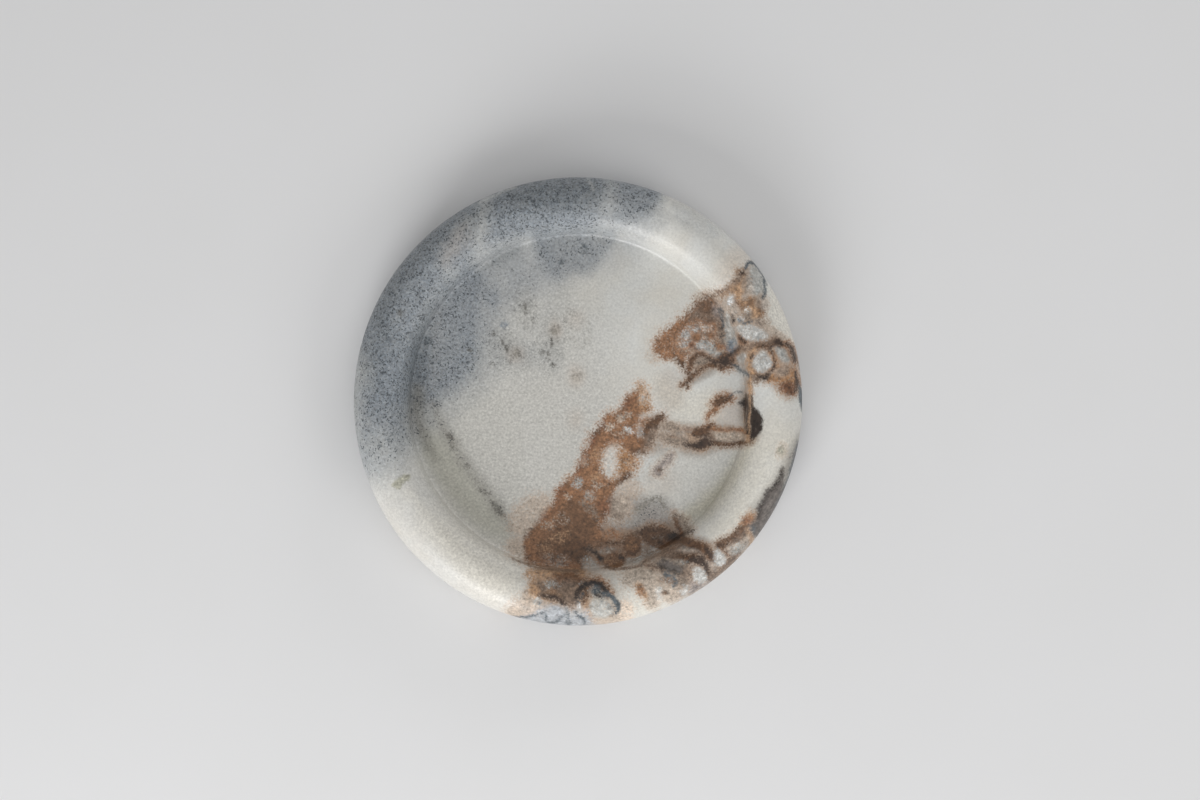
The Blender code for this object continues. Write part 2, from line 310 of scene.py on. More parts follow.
stainMarks = [   # iron-brown stains with grainy edges
    # the wedge on the right of the floor
    ("rust", 0.86, 2.8, [(33.8, 23.6), (35.6, 27.8), (40.5, 32.2), (45.4, 36.6), (50, 41), (54.5, 45.5),
        (57.5, 47.5), (61, 46), (63.5, 41.5), (65, 35), (64.8, 29), (66, 25.5), (68.5, 23), (64, 23),
        (58, 22), (53, 21.5), (49, 20), (46, 16.6), (44, 19), (40, 19), (36.5, 20.5)]),
    ("clay", 0.94, 5, [(47, 36), (51, 41.5), (55, 46), (58, 47.5), (61, 45), (63, 38), (60, 35),
        (54, 36)]),
    ("rust", 0.9, 5, [(39, 29.6, 0.6), (44, 33.5, 1.2), (48, 36.6, 1.2)]),
    ("brown", 1, 6, (57.5, 42, 4, 4, 30)),
    ("mauve", 1, 4, (62, 40, 1.8, 3.8, 20)),
    ("rust", 1, 5, (39.5, 23.6, 3.5, 2.4, 20)),
    ("umber", 0.85, 3, [(44, 19.5, 0.9), (46.5, 17, 0.9), (48, 14, 0.8), (50.5, 12, 0.8)]),
    ("dun", 0.7, 3, (55, 18, 4, 2, 10)),
    ("umber", 0.9, 2, [(45.8, 6.8, 0.6), (48, 8.4, 0.9), (51, 11.5, 0.9), (53, 13.4, 0.9),
        (56, 15.2, 0.9), (60, 16.3, 1), (63, 16, 1.3)]),
    ("umber", 0.85, 2, (49.3, 6.4, 0.9, 0.9, 0)),
    # rim, upper right
    ("tan", 0.92, 3.5, [(63.5, 46.5), (68, 47.5), (72, 46.5), (75.5, 48.5), (75.6, 54), (74, 58),
        (71.5, 58), (69.5, 53.5), (66, 50.5), (62.5, 49)]),
    ("tan", 0.92, 3.5, [(70, 47), (73, 45.5), (78, 46.5), (82, 45.5), (82.5, 41), (81.5, 37.5),
        (78.5, 35.5), (75.5, 35.5), (74, 38), (76, 40), (72.5, 40), (70, 43)]),
    ("clay", 0.84, 3.4, [(60, 46.8, 0.5), (64, 48.2, 0.8), (67.5, 49.6, 0.8), (70.3, 52.6, 0.9),
        (72.6, 56.4, 1.2)]),
    ("umber", 0.85, 3, (76.5, 43.5, 3.6, 1.6, 10)),
    ("umber", 0.85, 3, (80.5, 41, 1.5, 2.6, 0)),
    ("umber", 0.85, 2.5, (72.5, 42.5, 2.3, 1.1, -20)),
    ("fawn", 0.85, 2.2, [(75.5, 35.2, 0.8), (80, 35.2, 0.8), (83, 33.2, 0.8), (86, 31.5, 0.9),
        (91, 28.5, 0.8)]),
    ("clay", 0.9, 2.4, [(71, 24, 1), (75, 23.6, 1.2), (79, 25, 1.2), (84, 25.6, 1.4), (88, 27, 1.6)]),
    ("sienna", 0.78, 4, [(85.4, 22), (87, 21.5), (88, 17.2), (92, 15.6), (95.3, 14.5), (97.2, 9.5),
        (96.8, 4.5), (94, 2.8), (90.6, 3.6), (88.6, 7.6), (85.8, 9.2), (83, 9), (84.5, 11.8),
        (86, 14.5)]),
    ("russet", 1, 2.4, [(89.6, 8.4), (90.6, 4.6), (93.5, 2.9), (96, 3.8), (96.6, 6.8), (95.4, 8.6),
        (92.8, 8.4)]),
    ("umber", 1, 2.5, (93.8, 5.8, 1.8, 1.8, 0)),
    ("tan", 0.9, 2.2, [(84, 24, 0.7), (80.5, 24, 0.7), (77.5, 22.2, 0.8), (76.4, 18.5, 0.9),
        (76.7, 14.8, 1), (78.5, 12.2, 1.2)]),
    ("umber", 0.97, 2.4, [(79, 12, 0.9), (81.5, 10.9, 1.3), (84.2, 11.6, 1.1)]),
    # band down the middle of the floor
    ("rust", 1.08, 3.6, [(27.6, 6.5), (26, 5.5), (24, 3), (21, 0), (19.3, -3.5), (15.5, -5.2), (12, -7),
        (10.8, -10), (8.1, -13.5), (6.8, -16), (4.3, -19), (2.3, -23.5), (0.2, -29), (-2.1, -32.5),
        (-5.6, -35.5), (-9.3, -40), (-12, -45), (-15.8, -51), (-20.7, -55.6), (-24, -61), (-25, -66),
        (-23.4, -70), (-20, -72.8), (-8, -75.8), (2, -76.5), (1.5, -69.5), (7, -65), (14, -64),
        (12.3, -59), (12.8, -55), (12.5, -51), (14.5, -47), (14, -43), (16, -40), (20, -36.4),
        (23, -32.4), (24.6, -30), (22.5, -29.5), (19.5, -32), (17, -34.8), (14, -35), (11, -32),
        (10.2, -26), (11.5, -21), (14.5, -19.5), (18.5, -19.5), (22, -23.5), (27, -23.6), (31, -22.4),
        (32.5, -18), (31.5, -15), (28.5, -15.5), (26.4, -13), (26.6, -9), (28.8, -6), (31.3, -4.8),
        (31.4, -2.2), (28.6, -1.4), (28, 3)]),
    ("sienna", 0.9, 5, [(18, -20.5), (22.5, -22), (26, -24), (26.5, -28), (24.5, -30.5), (20, -33),
        (17.8, -31), (18.5, -26)]),
    ("brown", 1.15, 6, [(-10, -46), (-4, -43), (3, -45), (9, -44), (12, -50), (10, -58), (7, -65),
        (0, -73.5), (-8, -74), (-20, -71), (-20, -61), (-14, -55)]),
    ("umber", 1.1, 7, [(-8, -58), (0, -60), (8, -62), (8, -66), (2, -72), (-6, -72), (-12, -66)]),
    ("rust", 1.05, 5, (-12, -50, 5, 4, 30)),
    ("umber", 1.05, 4, (-9, -60, 4, 3, 0)),
    ("fawn", 0.38, 6, [(-16, -44), (-14, -50), (-20, -56), (-26, -58), (-28, -52), (-22, -46)]),
    ("dun", 0.72, 5, [(13, -45), (17, -43), (22, -46), (21, -51), (15, -52)]),
    ("russet", 1, 4, [(26, 3.5, 1.2), (23.5, 0.5, 2.2), (22, -3, 1.5)]),
    ("russet", 1, 4, [(11.5, -10, 1), (9.5, -14, 1.8), (7.5, -18, 2), (5, -23, 1.6), (3.5, -28, 1.4),
        (0, -33, 1.2)]),
    ("russet", 1.2, 4, [(-5.5, -39, 1.4), (-8, -43, 1.9), (-10, -48, 1.7), (-15, -53.5, 1.4)]),
    ("umber", 1, 4, [(-16.5, -55.5, 1), (-19.5, -59, 1.6), (-21, -64, 1.2), (-21.5, -69, 1.2)]),
    ("rust", 1.1, 3.4, (24.8, 2.2, 1.6, 2.4, -30)),
    ("umber", 1, 3, (9.5, -13.6, 1.9, 1.2, 0)),
    ("russet", 1, 4, (10.5, -46.5, 3.6, 4.4, 0)),
    ("brown", 1.1, 5, (-2, -45.4, 5.4, 3.6, 20)),
    ("brown", 1.1, 5, (-3, -65.3, 3.6, 2.8, 20)),
    ("umber", 1, 4, [(0, -53, 1.2), (1, -58, 2), (-0.5, -63, 1.6)]),
    ("umber", 1, 5, (-0.5, -70.5, 2.6, 3.2, 0)),
    ("umber", 1, 4, (6.8, -57.3, 2.4, 1.9, 0)),
    ("umber", 0.95, 4, (3, -52.5, 2.4, 1.8, 0)),
    ("rust", 1, 5, (-16, -71.4, 4, 1.8, -10)),
    ("umber", 0.97, 2.4, [(17, -37.2, 0.8), (19.5, -35.4, 1.2), (22, -32.2, 0.8)]),
    ("umber", 1, 3, [(23.5, -20.2, 1), (25.5, -21, 1.8), (29.5, -22.3, 1.5)]),
    ("umber", 0.97, 3, (28.5, -18.5, 2.2, 1.8, 20)),
    ("tan", 0.58, 4, [(26.5, 8), (30, 6), (31.5, 1), (31, -5), (28, -3), (27, 3)]),
    ("sienna", 0.8, 3, (30, -3.6, 2.4, 1.6, 0)),
    ("fawn", 0.52, 4, (19.6, -46.6, 2.6, 2.4, 0)),
    ("fawn", 0.3, 5, (22, -40, 3, 2.5, 0)),
    ("fawn", 0.36, 4, (-27.5, -65, 3, 3, 0)),
    # strokes to the right of the band
    ("clay", 0.86, 4, [(35.5, -9.5, 1.4), (33, -12, 2.6), (31.5, -15.5, 2.6), (30, -19.5, 2),
        (27.5, -22.5, 1.2)]),
    ("umber", 1, 2.6, [(38.2, -5.8, 0.8), (36, -8.2, 1.6), (32.5, -10.2, 2), (30, -12.8, 2),
        (29.5, -15, 1.2)]),
    ("dun", 0.76, 2.6, [(37.6, -10.6), (41, -9.9), (44.5, -11), (46, -13.5), (44, -15), (41, -13.5),
        (38.5, -12.6)]),
    ("sienna", 0.95, 2, [(38.6, -15.4, 0.5), (41, -15.8, 0.8), (46, -16, 0.9), (49, -15, 1)]),
    ("tan", 0.92, 3.5, [(46, -13), (54, -13), (59, -13), (60, -16), (58, -20), (50, -20.5), (46.5, -19.5),
        (48, -16.5)]),
    ("rust", 0.97, 2.2, [(47.5, -13.2, 0.7), (51, -12.9, 1), (55, -12.8, 1.2), (60, -12.3, 1.1),
        (66, -13.3, 1.2), (71, -12.9, 1.2), (75, -13.8, 1)]),
    ("umber", 0.92, 3, [(57, -17.5, 1.2), (62, -18.3, 1.4), (67, -18.9, 1.3), (72, -18.2, 1.2),
        (76.5, -16.8, 0.9)]),
    ("rust", 0.92, 2.2, [(57, -8, 0.5), (59.5, -5.2, 1), (61.5, -3, 1.2), (63.5, 0, 1)]),
    ("fawn", 0.85, 4, [(60, -14.4), (70, -14), (73, -16.3), (62, -17)]),
    ("mauve", 0.88, 3, [(36, -31, 1.8), (38.5, -28, 1.4), (42, -24, 0.8)]),
    ("tan", 1, 1.6, [(76.4, 11, 0.7), (76.3, 0, 0.9), (75.7, -9, 0.8), (75.4, -17, 0.6)]),
    # foot of the floor
    ("dun", 0.5, 4, [(8, -57.5), (14, -58), (18, -58.8), (24, -60), (20, -66), (9, -66.5), (4, -66)]),
    ("rust", 0.54, 3, [(12, -58.2), (17, -58.2), (20, -61), (19.5, -64), (9, -64.2), (9, -61.5)]),
    ("umber", 0.97, 2.2, [(8, -62.6, 0.8), (13, -63.1, 1.1), (19, -63, 0.9)]),
    ("brown", 0.97, 2.6, [(10, -71), (13, -68.6), (16, -67.4), (20, -68.8), (20.8, -71.5), (18, -74),
        (12.5, -73.6)]),
    ("brown", 1, 2.6, [(20, -61.4), (24, -59.6), (28.5, -61.5), (28.6, -66), (26, -69), (21.8, -68.2),
        (20, -65)]),
    ("umber", 0.97, 2.6, (23.5, -62.5, 2.8, 1.4, 0)),
    ("umber", 0.97, 2.6, (25.5, -67, 2.2, 1.3, 0)),
    ("umber", 0.97, 2.8, [(24.5, -60.6), (28, -57), (33, -55.6), (38, -56.2), (42.5, -58.5), (46, -60.3),
        (44.8, -63.4), (41, -65.6), (35.5, -65.2), (31, -62.8), (28, -61)]),
    ("umber", 0.97, 3, (30.6, -60.6, 3.2, 2.4, 10)),
    ("walnut", 1, 2.8, [(27.5, -58.8, 0.8), (31, -58.2, 1.3), (33.5, -57.2, 1.2), (37, -58, 0.8)]),
    ("dun", 0.8, 3.5, [(37, -66.5), (43, -64), (47, -62), (53, -63.5), (56, -67), (50, -68.6),
        (44, -69.4), (38, -70)]),
    ("umber", 0.9, 2.4, [(31, -63.6, 0.7), (36, -65.4, 0.9), (41, -65.8, 1), (45, -64, 0.9)]),
    ("clay", 0.85, 2.4, [(52, -13.6, 1.4), (57, -15, 1.8), (60, -16.4, 1)]),
    ("clay", 0.8, 3, (79.6, 10.4, 2.4, 1.4, 20)),
    ("dun", 0.8, 3, (75.6, 38, 2.4, 2.4, 0)),
    ("clay", 0.8, 2.4, [(36.6, -66.8, 0.6), (44, -66.4, 1.2), (50, -66.8, 1)]),
    ("umber", 0.97, 2.6, [(44, -62.4), (46, -59.8), (49, -60), (53, -61.3), (57, -63.8), (60, -67.5),
        (60.6, -71), (58, -71), (54, -68.2), (50, -65.4), (47, -64.4)]),
    ("drab", 0.8, 3, (50, -66.3, 4.5, 1.6, -10)),
    ("dun", 0.64, 4, [(43.5, -51, 0.8), (46.4, -54.5, 2.2), (49, -57.5, 1.6)]),
    ("rust", 0.66, 4, (29.2, -10.4, 2.2, 3, 0)),
    ("drab", 0.62, 4, [(44, -14), (54, -13.6), (58, -17), (50, -20), (45, -18)]),
    ("dun", 0.7, 3, [(62.5, 36, 1), (63.5, 30, 1.2), (64, 26, 1)]),
    ("drab", 0.7, 3, (74, 52, 2.5, 4, 0)),
    ("drab", 0.66, 3, (80.5, 43.5, 2.5, 2.5, 0)),
    ("drab", 0.6, 3, (90, 13, 3.2, 2, 0)),
    ("drab", 0.6, 3, [(68, 42, 1.2), (70, 36, 1.2)]),
    ("dun", 0.84, 3, [(-20, -74.6, 0.8), (-10, -75.6, 1.2), (2, -76, 1)]),
    # rim at the bottom
    ("tan", 0.72, 4, [(-21, -75), (2, -75), (2, -80), (-2, -86), (-8, -88), (-17, -88), (-24, -91),
        (-27, -92.5), (-24, -87.5), (-21.5, -84), (-20.5, -79)]),
    ("brown", 0.95, 4, [(-10, -76.4), (-2, -75.4), (2.5, -78), (1, -83), (-6, -84.5), (-12, -84.5),
        (-11, -80)]),
    ("umber", 1, 4, (3, -84.6, 2, 4, 0)),
    ("umber", 1.1, 4, [(-3, -58, 1.6), (-1.5, -63, 2.6), (-2, -68, 2.2), (1, -73, 1.6)]),
    ("brown", 1, 4, [(4, -63, 1.6), (9, -65.4, 2), (15, -65.8, 1.6)]),
    ("umber", 1, 3.4, [(38, -68.8, 1.4), (45, -69, 2.4), (52, -68.4, 2)]),
    ("clay", 0.95, 4, [(36, -79, 1.4), (41, -80, 1.8), (46, -78.6, 1.6)]),
    ("clay", 1, 4, [(36, -73, 1.6), (41, -75, 3), (46, -75, 2.2)]),
    ("clay", 1, 4, (40.5, -78.5, 3, 4.4, 0)),
    ("clay", 0.66, 3.6, [(-26, -91.6, 0.8), (-22.4, -90.4, 1.2), (-20, -92.6, 0.8)]),
    ("clay", 0.72, 4, [(-17, -80, 1), (-15, -83, 1.8), (-12, -80, 1.4)]),
    ("sienna", 0.95, 5, [(-28, -92.6, 1.4), (-23, -89.6, 2.2), (-19, -92, 1.4)]),
    ("ash", 0.6, 3, [(13, -90, 0.8), (16, -91.5, 1), (15, -95, 0.6)]),
    ("clay", 1, 3.6, [(67, -62.6, 1.4), (71, -60.4, 2.2), (75, -56, 2.2)]),
    ("dun", 0.74, 4, [(38, -15.4, 1.2), (44, -17.4, 1.4), (48, -17.4, 1)]),
    ("dun", 0.7, 3.6, [(74, 34.6, 0.8), (79, 35.4, 1.2), (83, 34, 0.8)]),
    ("umber", 0.95, 3, [(80, 24.6, 0.8), (84, 24.4, 1.4), (87, 25.4, 1.4)]),
    ("clay", 1, 4, [(-8, -79), (-2, -78.5), (1, -81), (0, -84.5), (1.6, -87.4), (-0.4, -90), (-3, -90.6),
        (-6, -89), (-8, -85.6), (-10, -83)]),
    ("walnut", 0.95, 2.4, [(-16.5, -85.3, 0.8), (-12.5, -86.2, 1.2), (-9, -86.6, 1.2), (-7, -88.8, 0.9)]),
    ("clay", 1, 3, (-22.4, -92, 3.4, 1.8, -20)),
    ("fawn", 0.66, 5, [(-21, -86), (-17, -91), (-24, -94), (-32, -96), (-28, -91)]),
    ("umber", 0.95, 2.4, (2.4, -87.6, 1.5, 2.4, 0)),
    ("umber", 0.85, 2.4, [(1.5, -86, 0.8), (3, -83.5, 1), (5.5, -82.8, 0.8)]),
    ("fawn", 0.4, 2, [(7, -97.2, 0.5), (13, -97.6, 0.6), (18, -96.8, 0.5)]),
    ("peach", 0.42, 4, (21, -93.5, 2, 3, 0)),
    ("tan", 0.6, 4, (4.5, -92.5, 1.6, 2.5, 0)),
    # rim, lower right
    ("fawn", 0.66, 5, [(22, -76), (32, -74), (35, -79), (30, -81), (22, -80)]),
    ("fawn", 0.84, 3.4, [(28, -81), (32, -80), (34.5, -85), (35.5, -91), (32, -91), (29.5, -87)]),
    ("tan", 0.9, 3, [(26.6, -81.2, 0.9), (28.3, -83.5, 1.6), (30, -86.4, 1)]),
    ("rust", 0.92, 2.4, (28.1, -83.2, 1.1, 1.6, 25)),
    ("fawn", 0.66, 4, [(36.5, -80), (42, -82), (46, -84), (43, -88), (38, -86)]),
    ("clay", 0.92, 2.4, [(30, -72.3, 0.8), (33, -73, 1.2), (37, -73, 1.2)]),
    ("dun", 1, 4, [(36, -69.5), (45, -68.5), (49, -71.5), (50.4, -79), (46, -82.6), (43, -80),
        (38.5, -76)]),
    ("clay", 0.97, 4, (46.5, -76, 3, 4, 20)),
    ("walnut", 0.97, 2.6, [(48, -70.6, 1.3), (52, -69.9, 2), (55.8, -71.8, 1.8), (57.8, -75, 1.4),
        (58.6, -79.5, 1.2)]),
    ("drab", 0.85, 3.5, [(59.5, -70), (61, -73), (64, -74.5), (62, -79), (59.5, -80), (59.8, -75)]),
    ("umber", 1.08, 3, [(62.8, -63.4, 2), (66, -62, 1.3), (69, -60, 1.7), (72, -57, 1.9),
        (74, -54.6, 1.3)]),
    ("drab", 0.8, 3.5, [(65.4, -66.6), (70.6, -64), (75, -59.8), (76.5, -60.6), (77, -64), (73, -69),
        (68, -74), (65, -75), (67, -70)]),
    ("umber", 0.85, 1.8, [(63.5, -64, 0.6), (65.5, -67.3, 0.7), (67.3, -70, 0.8), (66, -72.5, 0.7),
        (63.5, -74.3, 0.7)]),
    ("sienna", 0.95, 3.4, [(72.6, -53.6), (74.5, -50.8), (77, -49.4), (78.6, -52), (77.4, -54.6)]),
    ("russet", 0.97, 2.6, (75.6, -52.6, 2, 1.4, 0)),
    ("tan", 0.62, 2.6, [(74.5, -56, 0.8), (77, -60, 0.8), (77.5, -64, 0.8)]),
    ("clay", 0.86, 3, [(57, -80.4, 1), (62, -76.4, 1.6), (67.5, -71.8, 2), (72, -67.2, 1.4)]),
    ("mauve", 0.88, 3.4, [(49.6, -80.6), (54, -80.4), (58.5, -79.6), (55, -83.4), (50, -86)]),
    ("olive", 0.8, 2.5, (90, -22, 1.4, 2, 0)),
]

cellMarks = [    # pale crystals left clear inside the stains
    ("fawn", 0.66, 7, [(45.4, 30), (49, 33.6), (55, 35), (60, 33.4), (62.6, 28), (60, 24), (54, 20),
        (49, 21), (44.6, 23), (44.4, 27)]),
    ("mist", 0.97, 2.4, (48.2, 30, 2.4, 3, -15)),
    ("mist", 0.8, 2.6, (47.2, 26.2, 1.8, 2, 0)),
    ("haze", 1, 2.6, [(52, 24), (54.5, 27.4), (58, 27.6), (61, 25.2), (62, 22.4), (65, 21.3), (63, 19.6),
        (59, 20.8), (56, 22)]),
    ("mist", 0.97, 2.6, (56, 24.6, 2.6, 1.8, 10)),
    ("blush", 0.8, 3, (57, 33.2, 2.6, 1.8, 0)),
    ("mist", 0.7, 2.2, (52.6, 32.4, 1.8, 1.3, 0)),
    ("haze", 1, 2.4, [(65.5, 40), (68, 37), (70.3, 32), (71.6, 26.5), (70, 24), (67.3, 25), (65.6, 28.5),
        (65, 33)]),
    ("mist", 1, 2.4, [(70.5, 33), (74, 34), (79, 34), (82.5, 31.8), (84.5, 28.5), (82, 26.6), (77, 26.6),
        (73, 27.4), (71.3, 30)]),
    ("haze", 0.9, 2.4, (77, 28, 2.6, 1, 0)),
    ("mist", 1, 2.2, (81.5, 17.2, 4.3, 5.2, 5)),
    ("haze", 1, 2, [(86.3, 24.2), (88, 24.8), (91.3, 23.5), (93.4, 20.5), (94.2, 17.6), (90.4, 17.6),
        (88, 20.4)]),
    ("frost", 0.97, 1.8, (67.5, 44.4, 1.3, 2.6, -20)),
    ("haze", 1, 2.4, [(75.6, 57), (77, 60), (79.5, 60), (81.5, 57), (82.3, 53), (82, 48.5), (80, 46.6),
        (77.3, 46.8), (76, 49), (76, 53)]),
    ("blush", 0.86, 3, (76.8, 50, 2, 2.5, 0)),
    ("milk", 0.8, 2.4, (74.5, 40.5, 2, 1.4, 0)),
    ("frost", 0.8, 2, (72.5, 36, 2, 1.4, 0)),
    ("haze", 0.9, 2.4, (73, 19.5, 2, 2.4, 0)),
    ("tan", 0.48, 4.5, [(13.4, -21.5), (14.5, -18.5), (17.5, -20.5), (18.4, -26), (18.6, -31),
        (17.2, -35), (14.4, -34.6), (11.4, -31), (10.8, -26)]),
    ("blush", 0.6, 3.4, (14.4, -25.5, 2.4, 5, -8)),
    ("mist", 0.9, 3, (22, -12.7, 2.5, 2.1, 0)),
    ("mist", 0.54, 3.4, (27.6, -13.6, 1.4, 2.8, 0)),
    ("fawn", 0.88, 3, (14.5, -11.5, 2.8, 2.2, 20)),
    ("fawn", 0.85, 2.6, (18.6, -7.8, 2.2, 2, 0)),
    ("fawn", 0.8, 2.6, (22, -6, 2.2, 1.6, 0)),
    ("blush", 0.6, 3, (29, -7, 1.8, 1.4, 0)),
    ("mist", 0.72, 2.2, (29, 1.6, 0.9, 1.6, 0)),
    ("fawn", 0.72, 3.6, (19, -15, 3, 1.8, 30)),
    ("tan", 0.7, 3.6, (8, -24, 2, 3.4, -20)),
    ("fawn", 0.6, 3, (3.4, -27, 1.6, 2.4, -20)),
    ("fawn", 0.6, 3, (22.8, -27.5, 2, 1.8, 0)),
    ("tan", 0.74, 3.4, (8, -33.5, 3.2, 2.2, 10)),
    ("haze", 0.76, 3.2, (-0.2, -36.8, 2.5, 2.6, 0)),
    ("fawn", 0.74, 3.2, (9, -37.6, 3, 1.5, 10)),
    ("drab", 0.84, 3.4, (5.4, -42.4, 3, 3, 0)),
    ("fawn", 0.84, 2.6, (-4.6, -42.6, 1.7, 1.8, 0)),
    ("fawn", 0.58, 4, (-13, -55.6, 3, 2.6, 0)),
    ("fawn", 0.52, 4, (-7, -52.5, 3.4, 2.4, 0)),
    ("dun", 0.82, 3.2, [(1, -43.4), (3, -45), (6, -46.6), (9.5, -51), (8.5, -53), (4, -50),
        (0.5, -46.5)]),
    ("drab", 0.8, 3, (11, -55.8, 2, 2, 0)),
    ("tan", 0.66, 4.5, (-15, -66, 3.4, 3.4, 0)),
    ("tan", 0.66, 4, (-8, -61, 4.4, 2.8, 20)),
    ("drab", 0.6, 3.4, [(-17, -69.6), (-10, -68), (-4, -70.4), (-4, -73), (-12, -73.6)]),
    ("drab", 0.7, 2.4, [(8, -65.6), (12.8, -64.9), (17, -65), (16, -67.2), (12, -69), (9.3, -68.2)]),
    ("haze", 0.7, 3, [(1.5, -70.4), (4.6, -69.2), (8.8, -71.8), (9.6, -74.4), (4, -75.3), (1.6, -74)]),
    ("haze", 0.82, 2.2, [(21.2, -70), (26, -69.3), (29.6, -68.8), (30, -70), (25, -72.2), (21.4, -72.2)]),
    ("haze", 0.64, 2.6, [(28.8, -63), (31.5, -64.3), (37, -66.2), (34, -68.2), (29, -69)]),
    ("dun", 0.62, 2.6, (35.6, -60.6, 2.6, 1.3, 6)),
    ("sienna", 0.6, 2.6, (24.2, -64.6, 2.2, 1.7, 0)),
    ("tan", 0.54, 2.6, (15, -71, 3, 1.6, 0)),
    ("mist", 0.84, 3, (10.4, -91, 3.6, 2.8, 0)),
    ("haze", 0.7, 3, (-11, -81.4, 3.4, 1.8, 0)),
    ("mist", 0.9, 2.4, (-17.4, -88.2, 2.4, 2.2, 0)),
    ("pewter", 1, 3, [(-27, -96.6), (-22, -94.4), (-17, -91.4), (-12, -89.4), (-8, -89.8), (-5, -94),
        (1, -93), (4, -91), (5.5, -94), (6, -99), (0, -102), (-20, -101)]),
    ("frost", 0.9, 1.8, (0.3, -90.6, 1.5, 1.6, 0)),
    ("mist", 0.6, 1.6, (1.6, -80.4, 1.4, 0.8, 20)),
    ("fawn", 0.62, 1.8, (5.4, -84.2, 1.6, 1.4, 0)),
    ("haze", 0.95, 2.4, [(6, -88), (11, -87.4), (14, -88.4), (16, -91.5), (15, -95), (8, -95.5),
        (5, -92)]),
    ("mist", 1, 2, [(50.2, -74.4), (54, -73.2), (56.8, -76), (57.4, -79), (54.5, -80.6), (50.8, -79)]),
    ("mist", 1, 2, [(59.8, -65.6), (62.3, -64.8), (65.2, -68.2), (66, -71.6), (63.2, -73.4),
        (60.4, -71)]),
    ("haze", 0.8, 3, (71, -65, 3.2, 2.6, 40)),
    ("haze", 0.44, 2.6, [(36.6, -76.2), (40, -75.8), (43.4, -78.6), (43, -81.6), (40.6, -82),
        (38, -79.5)]),
    ("haze", 0.6, 2.4, (46, -71, 2.2, 1.2, 0)),
    ("milk", 0.8, 2.6, (36, -84.5, 1.8, 3.4, 0)),
    ("mist", 0.86, 2.8, (47.4, -83.6, 2.4, 2.6, 0)),
    ("blush", 0.8, 1.6, [(76.9, 9, 0.2), (76.9, 2, 0.3), (76.4, -4, 0.2)]),
]

